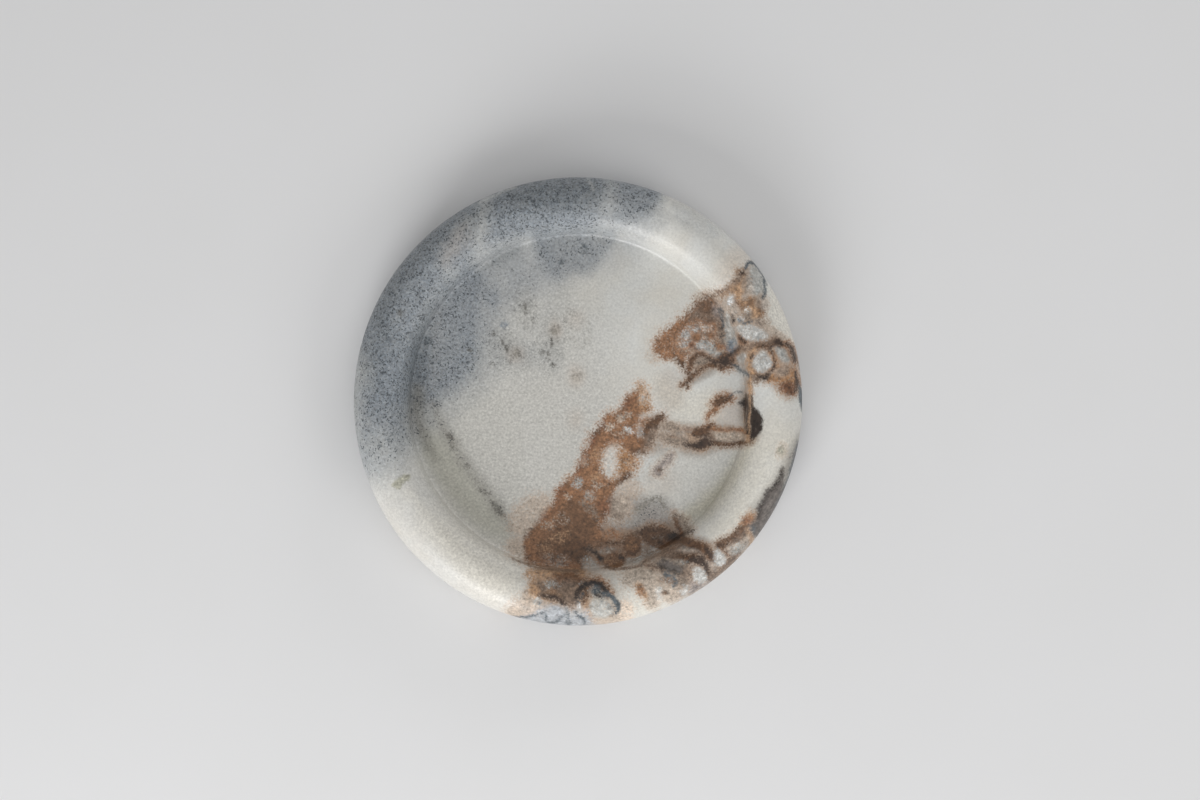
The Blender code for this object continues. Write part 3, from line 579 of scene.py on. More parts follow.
veinMarks = [    # dark lines and clots
    ("rust", 0.86, 1.6, (52.6, 28.6, 1.9, 1.7, 0)),
    ("rust", 0.8, 1.6, (59.6, 29.6, 1.5, 1.2, 0)),
    ("russet", 0.8, 1.6, (50.6, 25.4, 1.2, 1, 0)),
    ("umber", 0.95, 2.2, [(49.8, 14.5, 0.5), (50.5, 18, 1), (52.5, 20.3, 1.1), (55.5, 20.9, 0.8),
        (58.5, 19.7, 0.7)]),
    ("walnut", 0.74, 2.2, [(58.5, 19.5, 0.5), (61, 18, 0.8), (63.5, 17.4, 1.2)]),
    ("clay", 0.74, 2.4, [(67, 20.6, 0.9), (69.6, 21.6, 0.9), (71, 23, 0.5)]),
    ("walnut", 1, 3.2, (65.6, 17.6, 3.4, 2.9, 0)),
    ("walnut", 0.95, 1.8, [(67.2, 20, 1.2), (69, 22.2, 0.9), (71, 23.4, 0.7)]),
    ("slate", 0.62, 1.5, [(69.6, 16.2, 0.6), (72, 14.8, 0.5), (75.3, 11.5, 0.4)]),
    ("steel", 0.76, 2.6, (68.6, 25, 1.7, 2.6, -10)),
    ("soot", 0.8, 1.5, (64.3, 32.9, 0.8, 0.6, 0)),
    ("soot", 0.8, 1.5, [(64, 28.8, 0.5), (65, 30.2, 0.5)]),
    ("slate", 0.62, 1.6, [(63.3, 41.5, 0.5), (64.6, 38, 0.5), (65, 34, 0.4)]),
    ("bark", 1, 1.4, [(76.9, 0.4), (78.4, -2.6), (80.8, -5.2), (82, -9), (81.3, -12.8), (79.4, -15.4),
        (76.3, -16.4), (76.4, -12), (76.6, -7), (76.6, -3)]),
    ("bark", 0.85, 1.5, [(75.1, 3, 0.4), (75, -4, 0.6), (75, -9, 0.5), (75, -14, 0.4)]),
    ("bark", 0.9, 1.6, [(71.6, -1.2), (73.6, 0.4), (75.4, 2), (75.6, -2), (75.4, -5), (74, -2.6)]),
    ("bark", 0.85, 1.2, [(76.9, 3, 0.4), (77.6, 0, 0.6)]),
    ("umber", 0.92, 2.2, [(61, -1, 0.7), (63.4, 0.2, 1.3), (66, 1, 1.2), (68.4, 1.4, 0.7)]),
    ("slate", 0.55, 1.4, [(68.4, 2.9, 0.4), (70.5, 4.4, 0.4), (73, 4, 0.3)]),
    ("bark", 0.9, 1.6, [(80.2, 10.6, 0.5), (82.4, 10.2, 0.8), (84.4, 11.4, 0.6)]),
    ("walnut", 0.8, 1.5, [(85.5, 13.2, 0.4), (86.8, 17, 0.5), (86, 21, 0.5), (84.8, 24, 0.5)]),
    ("soot", 0.75, 1.4, [(77.4, 21.4, 0.5), (76.8, 19, 0.4)]),
    ("walnut", 0.94, 1.8, [(86.6, 25.6), (87.6, 27.8), (90, 27.3), (91.6, 25.6), (89.5, 24.4),
        (87.4, 24.4)]),
    ("walnut", 0.78, 1.6, [(91, 26, 0.5), (94, 24.5, 0.8), (95.5, 22, 1), (96.3, 19.5, 0.9),
        (96, 17, 0.6)]),
    ("walnut", 0.85, 1.4, [(96.4, 13, 0.5), (97, 10.5, 0.7), (97.2, 7.5, 0.7), (96.6, 4.8, 0.5)]),
    ("slate", 0.92, 1.4, [(98, 7, 0.4), (98.7, 4, 1.2), (99.2, 0, 1.1), (99.5, -4, 0.4)]),
    ("slate", 0.75, 1.2, [(98.4, 17, 0.4), (99, 14.5, 0.4)]),
    ("slate", 0.9, 1.3, [(74, 59.4, 0.5), (76, 61.6, 0.8), (78.7, 61.1, 0.8), (81, 58, 0.5),
        (82.6, 54, 0.5), (83, 50, 0.7), (82.4, 47, 0.7), (81.5, 45.5, 0.5)]),
    ("walnut", 0.85, 1.8, (72.4, 57, 1.1, 1, 0)),
    ("soot", 0.8, 1.4, [(68.4, 38.4, 0.5), (69.4, 35.6, 0.6)]),
    ("walnut", 0.85, 1.5, [(71.6, 29, 0.5), (73.6, 26, 0.7)]),
    ("slate", 0.62, 1.6, [(71.5, 36, 0.5), (73, 34.3, 0.5), (75.5, 35, 0.5), (77, 35.4, 0.5)]),
    ("umber", 0.95, 2.2, [(51, -14), (53.5, -12.2), (57, -10.9), (60, -10), (59.2, -12.2), (57.6, -15),
        (55, -16.2), (52, -15.8)]),
    ("walnut", 0.94, 2.8, [(47.3, -18.9), (49.6, -20.4), (54, -21.6), (58, -20.6), (60, -18.2),
        (57.5, -15.8), (54.6, -17.2), (51, -18.3)]),
    ("umber", 0.8, 2.2, [(37.6, -6.6, 0.6), (35, -9, 0.8), (31.6, -10.9, 0.9), (30.4, -12.4, 0.6)]),
    ("clay", 0.8, 1.8, (36.6, -30.6, 1, 0.8, 0)),
    ("bark", 0.85, 1.6, [(3.2, -65.8, 0.5), (6, -66.3, 0.8), (8.3, -68.6, 0.7), (10.3, -70.6, 0.9)]),
    ("soot", 0.9, 1.6, (10.3, -70.6, 1.2, 1.1, 0)),
    ("soot", 0.85, 1.6, (19.2, -69.9, 1.3, 0.9, -30)),
    ("umber", 0.9, 2, [(29.4, -59, 0.6), (32, -57.2, 0.8), (36, -56.6, 0.8), (40, -58.4, 0.8),
        (41.6, -61, 0.9), (39, -63.6, 0.8), (34, -63.8, 0.7), (30.4, -61.8, 0.6)]),
    ("bark", 0.92, 2.2, (42, -60.6, 2.2, 1.6, 20)),
    ("brown", 0.97, 1.6, [(43.3, -52, 0.4), (44.2, -55, 0.6), (45.6, -58, 0.9), (46, -60.5, 1)]),
    ("bark", 0.75, 1.5, [(51, -57.4, 0.3), (47.5, -59.2, 0.5), (44, -61, 0.8)]),
    ("dusk", 0.46, 2.4, [(26, -49, 0.9), (29, -46, 0.8), (33, -43.6, 0.6), (35, -42.9, 0.5),
        (37, -44, 0.5), (38.5, -47, 0.5)]),
    ("clay", 0.72, 1.2, [(-29, -70, 0.2), (-20, -73.5, 0.4), (-10, -75, 0.5), (0, -75.8, 0.4)]),
    ("clay", 0.8, 1.2, [(10.4, -71.4, 0.4), (13, -73.7, 0.5), (18, -74.5, 0.5), (25, -73.2, 0.4),
        (31, -70.8, 0.4), (36, -67.6, 0.4), (42, -64, 0.4)]),
    ("slate", 0.5, 2, [(-0.8, -89, 0.5), (0.6, -87, 0.8), (1.8, -85, 0.6)]),
    ("soot", 0.95, 1.6, [(-1.2, -87.3, 0.9), (0, -84, 1.1), (3, -81.2, 1.2), (7, -80.5, 1.1),
        (10.5, -81.6, 1.2), (13, -84, 1.2)]),
    ("slate", 0.72, 2.6, [(6.6, -81.6), (10, -81.4), (13.6, -84), (13, -86.4), (10, -87), (7.4, -86.4),
        (5.4, -84)]),
    ("bark", 0.9, 1.8, (11.8, -82.6, 1.8, 1.5, 0)),
    ("bark", 0.85, 1.6, (8.8, -86, 1.7, 0.9, 20)),
    ("slate", 0.95, 1.5, [(13.2, -85.2, 0.7), (15.4, -86.9, 1.2), (17.1, -89.2, 1.4), (17.8, -91.5, 1.1),
        (16.8, -94, 0.9)]),
    ("slate", 0.85, 1.1, [(-29.5, -96, 0.4), (-24, -96, 0.5), (-20, -95, 0.4), (-17, -93.8, 0.4),
        (-15, -93.5, 0.4), (-13.8, -95, 0.5), (-13.5, -97.5, 0.5), (-11, -98.2, 0.5), (-9, -97.5, 0.5),
        (-7.5, -96, 0.4), (-6, -94.5, 0.4)]),
    ("slate", 0.62, 1.6, (-17, -88.8, 1, 0.8, 0)),
    ("slate", 0.9, 1.3, (-1.2, -93, 0.9, 0.7, 0)),
    ("slate", 0.8, 1.3, [(0, -95, 0.5), (2, -96.2, 0.7), (3, -98.5, 0.5)]),
    ("slate", 0.6, 1.6, [(-5.5, -91, 0.5), (-4.5, -94, 0.6), (-5, -98, 0.5)]),
    ("slate", 0.62, 1.6, (-4, -99, 0.8, 0.6, 0)),
    ("cinder", 0.96, 3, [(36.6, -72.3, 1.4), (40.5, -73, 2.4), (44.4, -74.6, 1.8)]),
    ("bark", 0.62, 1.8, (37.4, -73, 1.2, 0.9, 0)),
    ("bark", 0.62, 1.8, (42.6, -74.6, 1.4, 1, 0)),
    ("slate", 0.62, 1.4, [(38.5, -76, 0.4), (41, -77.4, 0.5), (43.6, -79.6, 0.5), (42.4, -82, 0.4)]),
    ("umber", 0.8, 1.6, (38.6, -84.6, 1.2, 0.9, 0)),
    ("walnut", 0.85, 1.8, [(56.6, -65.8, 0.9), (58.8, -68.4, 0.9)]),
    # the ashen band that leaves the rim at the lower right
    ("cinder", 0.94, 2.6, [(99.6, -18), (97, -21), (95.2, -24), (95.2, -29), (94.2, -33.5), (91.6, -37.8),
        (91.3, -32), (91, -29.6), (90.2, -33), (87.8, -37), (85, -38.4), (83, -39.5), (81.6, -43),
        (80, -48), (78.6, -52), (76.2, -55), (77.2, -58), (79, -61), (84, -60), (95, -42), (102, -20)]),
    ("bark", 0.72, 2.6, [(91, -30, 0.5), (88.4, -35.6, 1), (84.4, -40.6, 1.4), (81.2, -46, 1.2),
        (80, -52, 0.9)]),
    ("slate", 0.95, 2, [(98.6, -18, 0.5), (97.4, -22, 0.8), (95.2, -30, 0.6), (92.4, -37.4, 0.4),
        (88, -46, 0.7)]),
    ("loam", 0.7, 2.2, [(88, -41, 0.4), (85.4, -46, 0.6), (82.6, -52, 0.5)]),
    ("slate", 0.62, 2.4, (77.6, -57, 1.6, 1.4, 0)),
    # specks of graphite on the floor, and loose grains round them
    ("moss", 0.18, 5, [(-37, 29), (-33, 30), (-27, 26), (-22, 21), (-25, 15), (-32, 15), (-38, 20)]),
    ("moss", 0.15, 5, [(-18, 22), (-15, 31), (-10, 38), (-6, 37), (-7, 27), (-8, 16), (-13, 14)]),
    ("moss", 0.19, 5, (-23.5, 42, 3.5, 6, 10)),
    ("dusk", 0.2, 5, (-1, 33, 4, 6, 30)),
    ("moss", 0.6, 1.8, (-48.6, 23, 0.9, 0.7, 0)),
    ("moss", 0.56, 1.6, [(-34.1, 27.4, 0.3), (-33.4, 25.6, 0.5)]),
    ("moss", 0.58, 1.6, [(-32.2, 24.6, 0.5), (-31.6, 22.8, 0.5)]),
    ("dusk", 0.44, 2.6, (-27, 21.4, 1.4, 1.3, 0)),
    ("moss", 0.56, 1.6, [(-30.6, 17.2, 0.5), (-29.2, 18.2, 0.4)]),
    ("moss", 0.5, 1.6, (-24.9, 20.5, 0.6, 0.5, 0)),
    ("moss", 0.46, 1.6, (-38.4, 16.8, 0.8, 0.5, 0)),
    ("moss", 0.46, 1.6, [(-24.1, 44, 0.3), (-23.6, 41, 0.4), (-23.2, 39, 0.3)]),
    ("moss", 0.42, 1.6, (-37.7, 30.6, 0.7, 0.6, 0)),
    ("moss", 0.6, 1.6, [(-12.2, 27.8, 0.4), (-11.8, 25, 0.6)]),
    ("moss", 0.58, 1.6, [(-17, 21.6, 0.5), (-15.4, 22.6, 0.5)]),
    ("moss", 0.62, 1.6, (-13, 21.6, 0.9, 0.8, 0)),
    ("moss", 0.66, 1.6, (-11.2, 16.3, 1.1, 0.8, 0)),
    ("moss", 0.44, 1.6, (-13.4, 19, 0.6, 0.5, 0)),
    ("dusk", 0.48, 2.6, (-10.2, 31.6, 1.6, 1.1, 0)),
    ("moss", 0.44, 1.6, [(-10, 34.6, 0.3), (-8.4, 33.6, 0.3)]),
    ("steel", 0.55, 2.4, (-33, 34, 1.2, 1.4, 0)),
    ("moss", 0.38, 1.8, (-5.4, 36, 0.6, 0.6, 0)),
    ("dusk", 0.36, 2.8, (-0.6, 11.4, 1.6, 1.4, 0)),
    ("moss", 0.36, 1.8, (-20, 36, 0.6, 0.7, 20)),
    ("moss", 0.62, 1.8, (-78.5, 39, 0.9, 1.4, -20)),
    ("slate", 0.56, 2, (-67.5, 27, 1.4, 1.6, 0)),
    ("slate", 0.6, 1.6, (-82, -14.7, 0.7, 0.7, 0)),
    ("slate", 0.6, 1.6, (-83.2, -16.7, 0.7, 0.7, 0)),
    ("slate", 0.6, 1.6, (-87.5, -19.6, 0.7, 0.6, 0)),
    ("slate", 0.56, 2, (-7, 62.5, 1, 1.2, 0)),
    ("slate", 0.54, 2, (2.5, 68.5, 1.4, 1.6, 0)),
    ("moss", 0.54, 1.6, [(-58.8, -15.2, 0.4), (-56.6, -16, 0.6)]),
    ("moss", 0.44, 1.6, (-55.8, -21, 0.6, 0.6, 0)),
    ("moss", 0.42, 1.8, [(-50, -28.4, 0.4), (-48.4, -29.8, 0.4)]),
    ("moss", 0.46, 1.8, [(-43.6, -39.6, 0.4), (-39.4, -40.8, 0.5)]),
    ("moss", 0.5, 1.8, [(-39.6, -44.6, 0.4), (-36.8, -47, 0.7), (-34, -50.2, 0.6)]),
    ("olive", 0.9, 1.4, [(-82, -37.2), (-80, -34.3), (-77, -32.4), (-74.6, -32.5), (-74.8, -34.8),
        (-77.5, -36.6), (-79, -38.8)]),
]

markWays = {
    "slant": (0.32, -0.24),      # mm that the markings move sideways for each mm down into the block
    "drift": (22, 0.5),          # mm from one stray to the next, and mm that they stray for each mm down
    "wander": ((6, 0.7), (2.4, 0.4)),   # mm from bend to bend of a drawn edge, and mm that it wanders
    "seed": 12,                  # of that noise, so that every run draws the same stone
    "rustyEdge": (0.9, 3.8, 0.75),      # mm of rust round a dark line, how soft, how full
    "rusting": ("walnut", "soot", "umber"),   # the pigments that have such an edge
    "stainSoft": 1.3,            # times the softness written in stainMarks
    "veinSoft": 1.35,            # and in veinMarks
    "topSkin": 0.05,             # mm under the top face where the markings still stand as drawn
    "mixing": 0.5,               # fullness over which one mark's colour takes over from another's
    "bare": -3.0,                # fullness where nothing is drawn
}


def splineThrough(points, closed):  # a Catmull-Rom curve through the drawn points, five steps a span
    spots = np.array(points, float)
    if closed:
        spots = np.vstack([spots[-1], spots, spots[:2]])
    else:
        spots = np.vstack([2 * spots[0] - spots[1], spots, 2 * spots[-1] - spots[-2]])
    curve = []
    for before, start, end, after in zip(spots, spots[1:], spots[2:], spots[3:]):
        for step in (0.0, 0.2, 0.4, 0.6, 0.8):
            curve.append(0.5 * (2 * start + (end - before) * step
                                + (2 * before - 5 * start + 4 * end - after) * step ** 2
                                + (3 * start - before - 3 * end + after) * step ** 3))
    if not closed:
        curve.append(spots[-2])
    return np.array(curve)


def nearestOnPath(plan, path):  # mm to the path, less its half width there if it has one
    start, step = path[:-1], np.diff(path, axis=0)
    length = np.maximum((step[:, :2] ** 2).sum(1), 1e-9)
    away = plan[:, None, :] - start[None, :, :2]
    along = np.clip((away * step[None, :, :2]).sum(2) / length, 0, 1)
    gap = np.sqrt(((away - along[:, :, None] * step[None, :, :2]) ** 2).sum(2))
    if path.shape[1] == 2:
        return gap.min(1)
    width = start[None, :, 2] + along * step[None, :, 2]
    return (gap - width).min(1)


def strokeReach(plan, points):  # each reach is mm inside a mark's edge, and below 0 outside it
    return -nearestOnPath(plan, splineThrough(points, False))


def patchReach(plan, points):
    path = splineThrough(points, True)
    loop = np.vstack([path, path[:1]])
    inside = np.zeros(len(plan), bool)
    for (x1, y1), (x2, y2) in zip(loop[:-1], loop[1:]):
        crosses = (y1 > plan[:, 1]) != (y2 > plan[:, 1])
        if crosses.any():
            inside ^= crosses & (plan[:, 0] < x1 + (plan[:, 1] - y1) * (x2 - x1) / (y2 - y1))
    gap = nearestOnPath(plan, loop)
    return np.where(inside, gap, -gap)


def blobReach(plan, points):
    x, y, wide, high, turn = points
    cosine, sine = math.cos(math.radians(turn)), math.sin(math.radians(turn))
    dx, dy = plan[:, 0] - x, plan[:, 1] - y
    across, up = (cosine * dx + sine * dy) / wide, (cosine * dy - sine * dx) / high
    return (1 - np.hypot(across, up)) * min(wide, high)


def markFullness(plan, full, soft, points):  # 0.5 on the drawn edge, more inside, at most full
    if isinstance(points, tuple):
        middle, size = np.array(points[:2]), max(points[2:4])
        low, high, reachOf = middle - size, middle + size, blobReach
    else:
        spots = np.array(points, float)
        low, high = spots.min(0)[:2], spots.max(0)[:2]
        reachOf = patchReach if spots.shape[1] == 2 else strokeReach
    margin = 1.3 * soft + 2    # mm, enough for the softness and the stroke's width
    near = np.all((plan > low - margin) & (plan < high + margin), axis=1)
    fullness = np.full(len(plan), markWays["bare"])
    fullness[near] = np.minimum(full, 0.5 + reachOf(plan[near], points) / soft)
    return fullness


def drawLayer(plan, marks, ground):  # a crumbling layer: its fullness, and its colour on that ground
    bare = markWays["bare"]
    cover = np.full(len(plan), bare)
    colour = np.tile(linearColour(pigments[ground]), (len(plan), 1))
    for pigment, full, soft, points in marks:
        fullness = markFullness(plan, full, soft, points)
        share = np.clip((fullness - cover) / markWays["mixing"] + 1, 0, 1) * (fullness > bare + 0.1)
        colour += (np.array(linearColour(pigments[pigment])) - colour) * share[:, None]
        cover = np.maximum(cover, fullness)
    return cover, colour


def drawWash(plan, marks, ground):  # a smooth layer: 0 outside, the mark's fullness well inside
    cover = np.zeros(len(plan))
    colour = np.tile(linearColour(pigments[ground]), (len(plan), 1))
    for pigment, full, soft, points in marks:
        depth = np.clip(markFullness(plan, 1.0, soft, points), 0, 1)
        strength = full * depth * depth * (3 - 2 * depth)
        share = strength / np.maximum(strength + cover * (1 - strength), 1e-6)
        colour += (np.array(linearColour(pigments[pigment])) - colour) * share[:, None]
        cover = cover + strength * (1 - cover)
    return cover, colour


def strayField(spots, length):  # a smooth random shift for every point
    return np.array([noise.noise_vector(Vector(spot) / length) for spot in spots])[:, :2]


def planOfStone(mesh):  # where on the drawing each point of the stone lies
    low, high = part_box("stone_tray")
    spots = np.zeros(len(mesh.vertices) * 3)
    mesh.vertices.foreach_get("co", spots)
    spots = spots.reshape(-1, 3) * 1000
    half = trayShape["rimWidth"] / 2
    crest, middleZ = high[0] * 1000 - half, (low[2] + high[2]) * 500
    baseZ = low[2] * 1000
    radius = np.hypot(spots[:, 0], spots[:, 1])
    rise = np.sqrt(np.clip(half ** 2 - (radius - crest) ** 2, 0, None))
    topZ = np.where(radius < crest - half, baseZ + trayShape["floorThickness"], middleZ + rise)
    depth = np.clip(topZ - spots[:, 2] - markWays["topSkin"], 0, None)
    depth[(radius < crest) & (spots[:, 2] > baseZ + 1)] = 0    # the dish counts as the top, wall and all
    noise.seed_set(markWays["seed"])
    driftLength, drift = markWays["drift"]
    slide = np.outer(depth, markWays["slant"]) + strayField(spots, driftLength) * (depth * drift)[:, None]
    plan = spots[:, :2] + slide
    for length, shift in markWays["wander"]:
        plan += strayField(spots, length) * shift
    return plan


def storeField(mesh, name, cover, colour):
    field = mesh.attributes.new(name, "FLOAT", "POINT")
    field.data.foreach_set("value", cover.astype(np.float32))
    field = mesh.attributes.new(name + "Colour", "FLOAT_COLOR", "POINT")
    field.data.foreach_set("color", colour.astype(np.float32).ravel())


def rustRound(marks):  # iron has crept out of the dark lines into the stone beside them
    edge, soft, full = markWays["rustyEdge"]
    halos = []
    for pigment, strength, lineSoft, points in marks:
        if pigment not in markWays["rusting"]:
            continue
        if isinstance(points, tuple):
            x, y, wide, high, turn = points
            points = (x, y, wide + edge, high + edge, turn)
        elif len(points[0]) == 3:
            points = [(x, y, wide + edge) for x, y, wide in points]
        halos.append(("rust", full * strength, soft, points))
    return halos


def softened(marks, times):
    return [(pigment, full, soft * times, points) for pigment, full, soft, points in marks]


def markStone(tray):
    plan = planOfStone(tray.data)
    cover, colour = drawWash(plan, cloudAndShadeMarks, "steel")
    for full, soft, points in clearMarks:
        cover *= 1 - full * np.clip(markFullness(plan, 1.0, soft, points), 0, 1)
    # this grey layer also carries the painted shade of the left crease
    storeField(tray.data, "cloudAndShade", cover, colour)
    storeField(tray.data, "tint", *drawWash(plan, tintMarks, "cream"))
    stains = rustRound(veinMarks) + softened(stainMarks, markWays["stainSoft"])
    storeField(tray.data, "stain", *drawLayer(plan, stains, "tan"))
    storeField(tray.data, "cell", *drawLayer(plan, cellMarks, "mist"))
    storeField(tray.data, "vein", *drawLayer(plan, softened(veinMarks, markWays["veinSoft"]), "slate"))


markStone(tray)
allMarks = cloudAndShadeMarks + clearMarks + tintMarks + stainMarks + cellMarks + veinMarks
print("markings drawn:", len(allMarks))


# Honed calcite marble: turned and rubbed down to a satin face. Every crystal takes up its own share
# of iron or graphite, so a marking ends in a crumbly edge and each crystal has its own lightness;
# the face is even and only faintly shiny.

marbleLook = {
    "crystal": 0.65,                # mm across, a coarse white marble
    "noises": {                     # 1000 over the size in mm, and how much detail
        "fine": (1150, 2),          # 0.9 mm, one crystal
        "speckle": (900, 2),        # 1.1 mm, light and dark crystals
        "patch": (270, 2),          # 3.7 mm, a cluster of crystals
        "web": (480, 3),            # 2.1 mm, strands of iron
        "flake": (1300, 1),         # 0.8 mm, graphite
        "broad": (45, 3),           # 22 mm, warm and cool stone
    },
    # two sums of chance, both 0 on average: who takes up a marking, and how light a crystal is
    "sums": {                       # channel of the crystal's own chance, its weight, start, noises
        "ragged": (2, 0.42, -1.02, (("fine", 0.96), ("patch", 0.66))),
        "lightness": (0, 0.30, -0.70, (("speckle", 1.1),)),
    },
    "strands": (0.25, 0.75, -0.42, 0.42),    # from and to in the noise, from and to in lightness
    "whites": ("#D0CDC5", "#D3D3CF", 0.38, 0.62),    # warm, cool, and where one turns to the other
    "layers": {   # how ragged, where it begins, where it is full, how strongly its grains differ
        "tint": (0.15, 0.0, 1.0, 0.4),
        "cloudAndShade": (0.30, 0.0, 1.05, 1.0),
        "stain": (1.0, 0.02, 0.86, 1.0),
        "cell": (1.2, 0.32, 1.20, 0.6),
        "vein": (0.6, 0.08, 0.88, 0.8),
    },
    "drawnOnly": 0.1,               # fullness by which a cloud or tint may show at its strongest
    "ironWash": ("#C8A688", -0.3, 0.6, 0.42),        # begins, ends, most that it covers
    "graphite": ("#3F4448", 1.76, 1.89, 0.84),       # the same for the dark crystals
    "swarms": (0.30, (("flake", 0.9), ("patch", 0.5))),    # weight of the grey, and of the noises
    "dense": 0.55,                  # greyness at which all the graphite shows
    "allOver": 0.3,                 # share of the lightness that stays in the finished colour
    "roughness": (0.36, 0.50),      # from crystal to crystal
    "pores": (0.2, 0.00003),        # strength, and metres deep
    "IOR": 1.5,
}


def marbleMaterial():
    look = marbleLook
    marble, tree, shader, place = startMaterial("honed_calcite_marble")
    crystals = addNode(tree, "TexVoronoi", {"Scale": 1000 / look["crystal"]}, {"Vector": place})
    chance = addNode(tree, "SeparateColor", None, {0: crystals.outputs["Color"]}).outputs
    noises = {}
    for name, (scale, detail) in look["noises"].items():
        texture = addNode(tree, "TexNoise", {"Scale": scale, "Detail": detail}, {"Vector": place})
        noises[name] = texture.outputs["Fac"]
    sums = {}
    for name, (channel, own, start, weights) in look["sums"].items():
        total = addNode(tree, "Math", {"operation": "MULTIPLY_ADD", 1: own, 2: start},
                        {0: chance[channel]})
        for field, weight in weights:
            total = addNode(tree, "Math", {"operation": "MULTIPLY_ADD", 1: weight},
                            {0: noises[field], 2: total})
        sums[name] = total.outputs[0]
    thin, thick, less, more = look["strands"]
    strands = addNode(tree, "MapRange", {1: thin, 2: thick, 3: less, 4: more}, {0: noises["web"]})
    # the white of the stone, warm and cool by turns
    warm, cool, begins, ends = look["whites"]
    turns = addNode(tree, "MapRange", {1: begins, 2: ends}, {0: noises["broad"]})
    tone = addNode(tree, "Mix", {"data_type": "RGBA", 6: linearColour(warm), 7: linearColour(cool)},
                   {0: turns}).outputs[2]
    for name, (rough, begins, ends, grains) in look["layers"].items():
        cover = addNode(tree, "Attribute", {"attribute_name": name}).outputs["Fac"]
        hue = addNode(tree, "Attribute", {"attribute_name": name + "Colour"}).outputs["Color"]
        drawn = addNode(tree, "Math", {"operation": "MULTIPLY_ADD", 1: rough},
                        {0: sums["ragged"], 2: cover})
        share = addNode(tree, "MapRange", {1: begins, 2: ends}, {0: drawn})
        if name in ("tint", "cloudAndShade"):   # nothing of these where none was drawn
            there = addNode(tree, "MapRange", {2: look["drawnOnly"]}, {0: cover})
            share = addNode(tree, "Math", {"operation": "MULTIPLY"}, {0: share, 1: there})
        else:
            share.interpolation_type = "SMOOTHSTEP"
        if name == "stain":   # a thin wash of iron runs ahead of the stain itself
            washHue, begins, ends, most = look["ironWash"]
            ahead = addNode(tree, "MapRange", {"interpolation_type": "SMOOTHSTEP",
                                               1: begins, 2: ends, 4: most}, {0: drawn})
            tone = addNode(tree, "Mix", {"data_type": "RGBA", 7: linearColour(washHue)},
                           {0: ahead, 6: tone}).outputs[2]
        grain = addNode(tree, "Math", {"operation": "MULTIPLY_ADD", 1: grains, 2: 1.0},
                        {0: sums["lightness"]})
        if name in ("stain", "cell", "vein"):   # iron lies in a web of denser and thinner strands
            grain = addNode(tree, "Math", {"operation": "ADD"}, {0: grain, 1: strands})
        grainy = addNode(tree, "VectorMath", {"operation": "SCALE"}, {0: hue, 3: grain})
        tone = addNode(tree, "Mix", {"data_type": "RGBA"}, {0: share, 6: tone, 7: grainy}).outputs[2]
        if name == "cloudAndShade":   # dark crystals of graphite in loose swarms, more where the grey is dense
            own, weights = look["swarms"]
            flakeHue, begins, ends, most = look["graphite"]
            flakes = addNode(tree, "Math", {"operation": "MULTIPLY_ADD", 1: own},
                             {0: cover, 2: chance[1]})
            for field, weight in weights:
                flakes = addNode(tree, "Math", {"operation": "MULTIPLY_ADD", 1: weight},
                                 {0: noises[field], 2: flakes})
            flakes = addNode(tree, "MapRange", {1: begins, 2: ends, 4: most}, {0: flakes})
            dense = addNode(tree, "MapRange", {2: look["dense"]}, {0: cover})
            flakes = addNode(tree, "Math", {"operation": "MULTIPLY"}, {0: flakes, 1: dense})
            tone = addNode(tree, "Mix", {"data_type": "RGBA", 7: linearColour(flakeHue)},
                           {0: flakes, 6: tone}).outputs[2]
    faint = addNode(tree, "Math", {"operation": "MULTIPLY_ADD", 1: look["allOver"], 2: 1.0},
                    {0: sums["lightness"]})
    tone = addNode(tree, "VectorMath", {"operation": "SCALE"}, {0: tone, 3: faint})
    tree.links.new(tone.outputs[0], shader.inputs["Base Color"])
    smooth, dull = look["roughness"]
    satin = addNode(tree, "MapRange", {3: smooth, 4: dull}, {0: chance[1]})
    tree.links.new(satin.outputs[0], shader.inputs["Roughness"])
    strength, deep = look["pores"]
    pores = addNode(tree, "Bump", {"Strength": strength, "Distance": deep}, {"Height": noises["fine"]})
    tree.links.new(pores.outputs[0], shader.inputs["Normal"])
    shader.inputs["IOR"].default_value = look["IOR"]
    return marble


tray.data.materials.append(marbleMaterial())


# Felt pads under the base, each stuck on with a thin film of glue

padShape = {
    "points": 96,          # round a pad
    "edgeRound": 0.45,     # mm
    "edgeSteps": 4,        # across a rounded edge, of the glue too
    "rings": 10,           # across both faces, a twelfth of the radius each
    "nap": 0.10,           # mm that the wool stands up and sinks
    "tufts": ((0.6, 0.9), (0.4, 0.4)),    # share of the nap, and mm from tuft to tuft
    "glueInset": 0.5,      # mm that the glue stays back from the pad's edge
    "gluePoints": 64,
    "glueRound": 0.05,     # mm
}


def roundDisc(name, x, y, radius, low, high, points, edgeRound):
    deselectAll()
    bpy.ops.mesh.primitive_cylinder_add(vertices=points, radius=radius, depth=high - low,
                                        location=(x, y, (low + high) / 2))
    disc = bpy.context.active_object
    disc.name = disc.data.name = name
    bpy.ops.object.transform_apply(location=True, rotation=True, scale=True)
    bpy.ops.object.mode_set(mode="EDIT")
    bpy.ops.mesh.select_all(action="SELECT")
    bpy.ops.mesh.bevel(offset=edgeRound / 1000, segments=padShape["edgeSteps"], affect="EDGES")
    bpy.ops.object.mode_set(mode="OBJECT")
    return disc


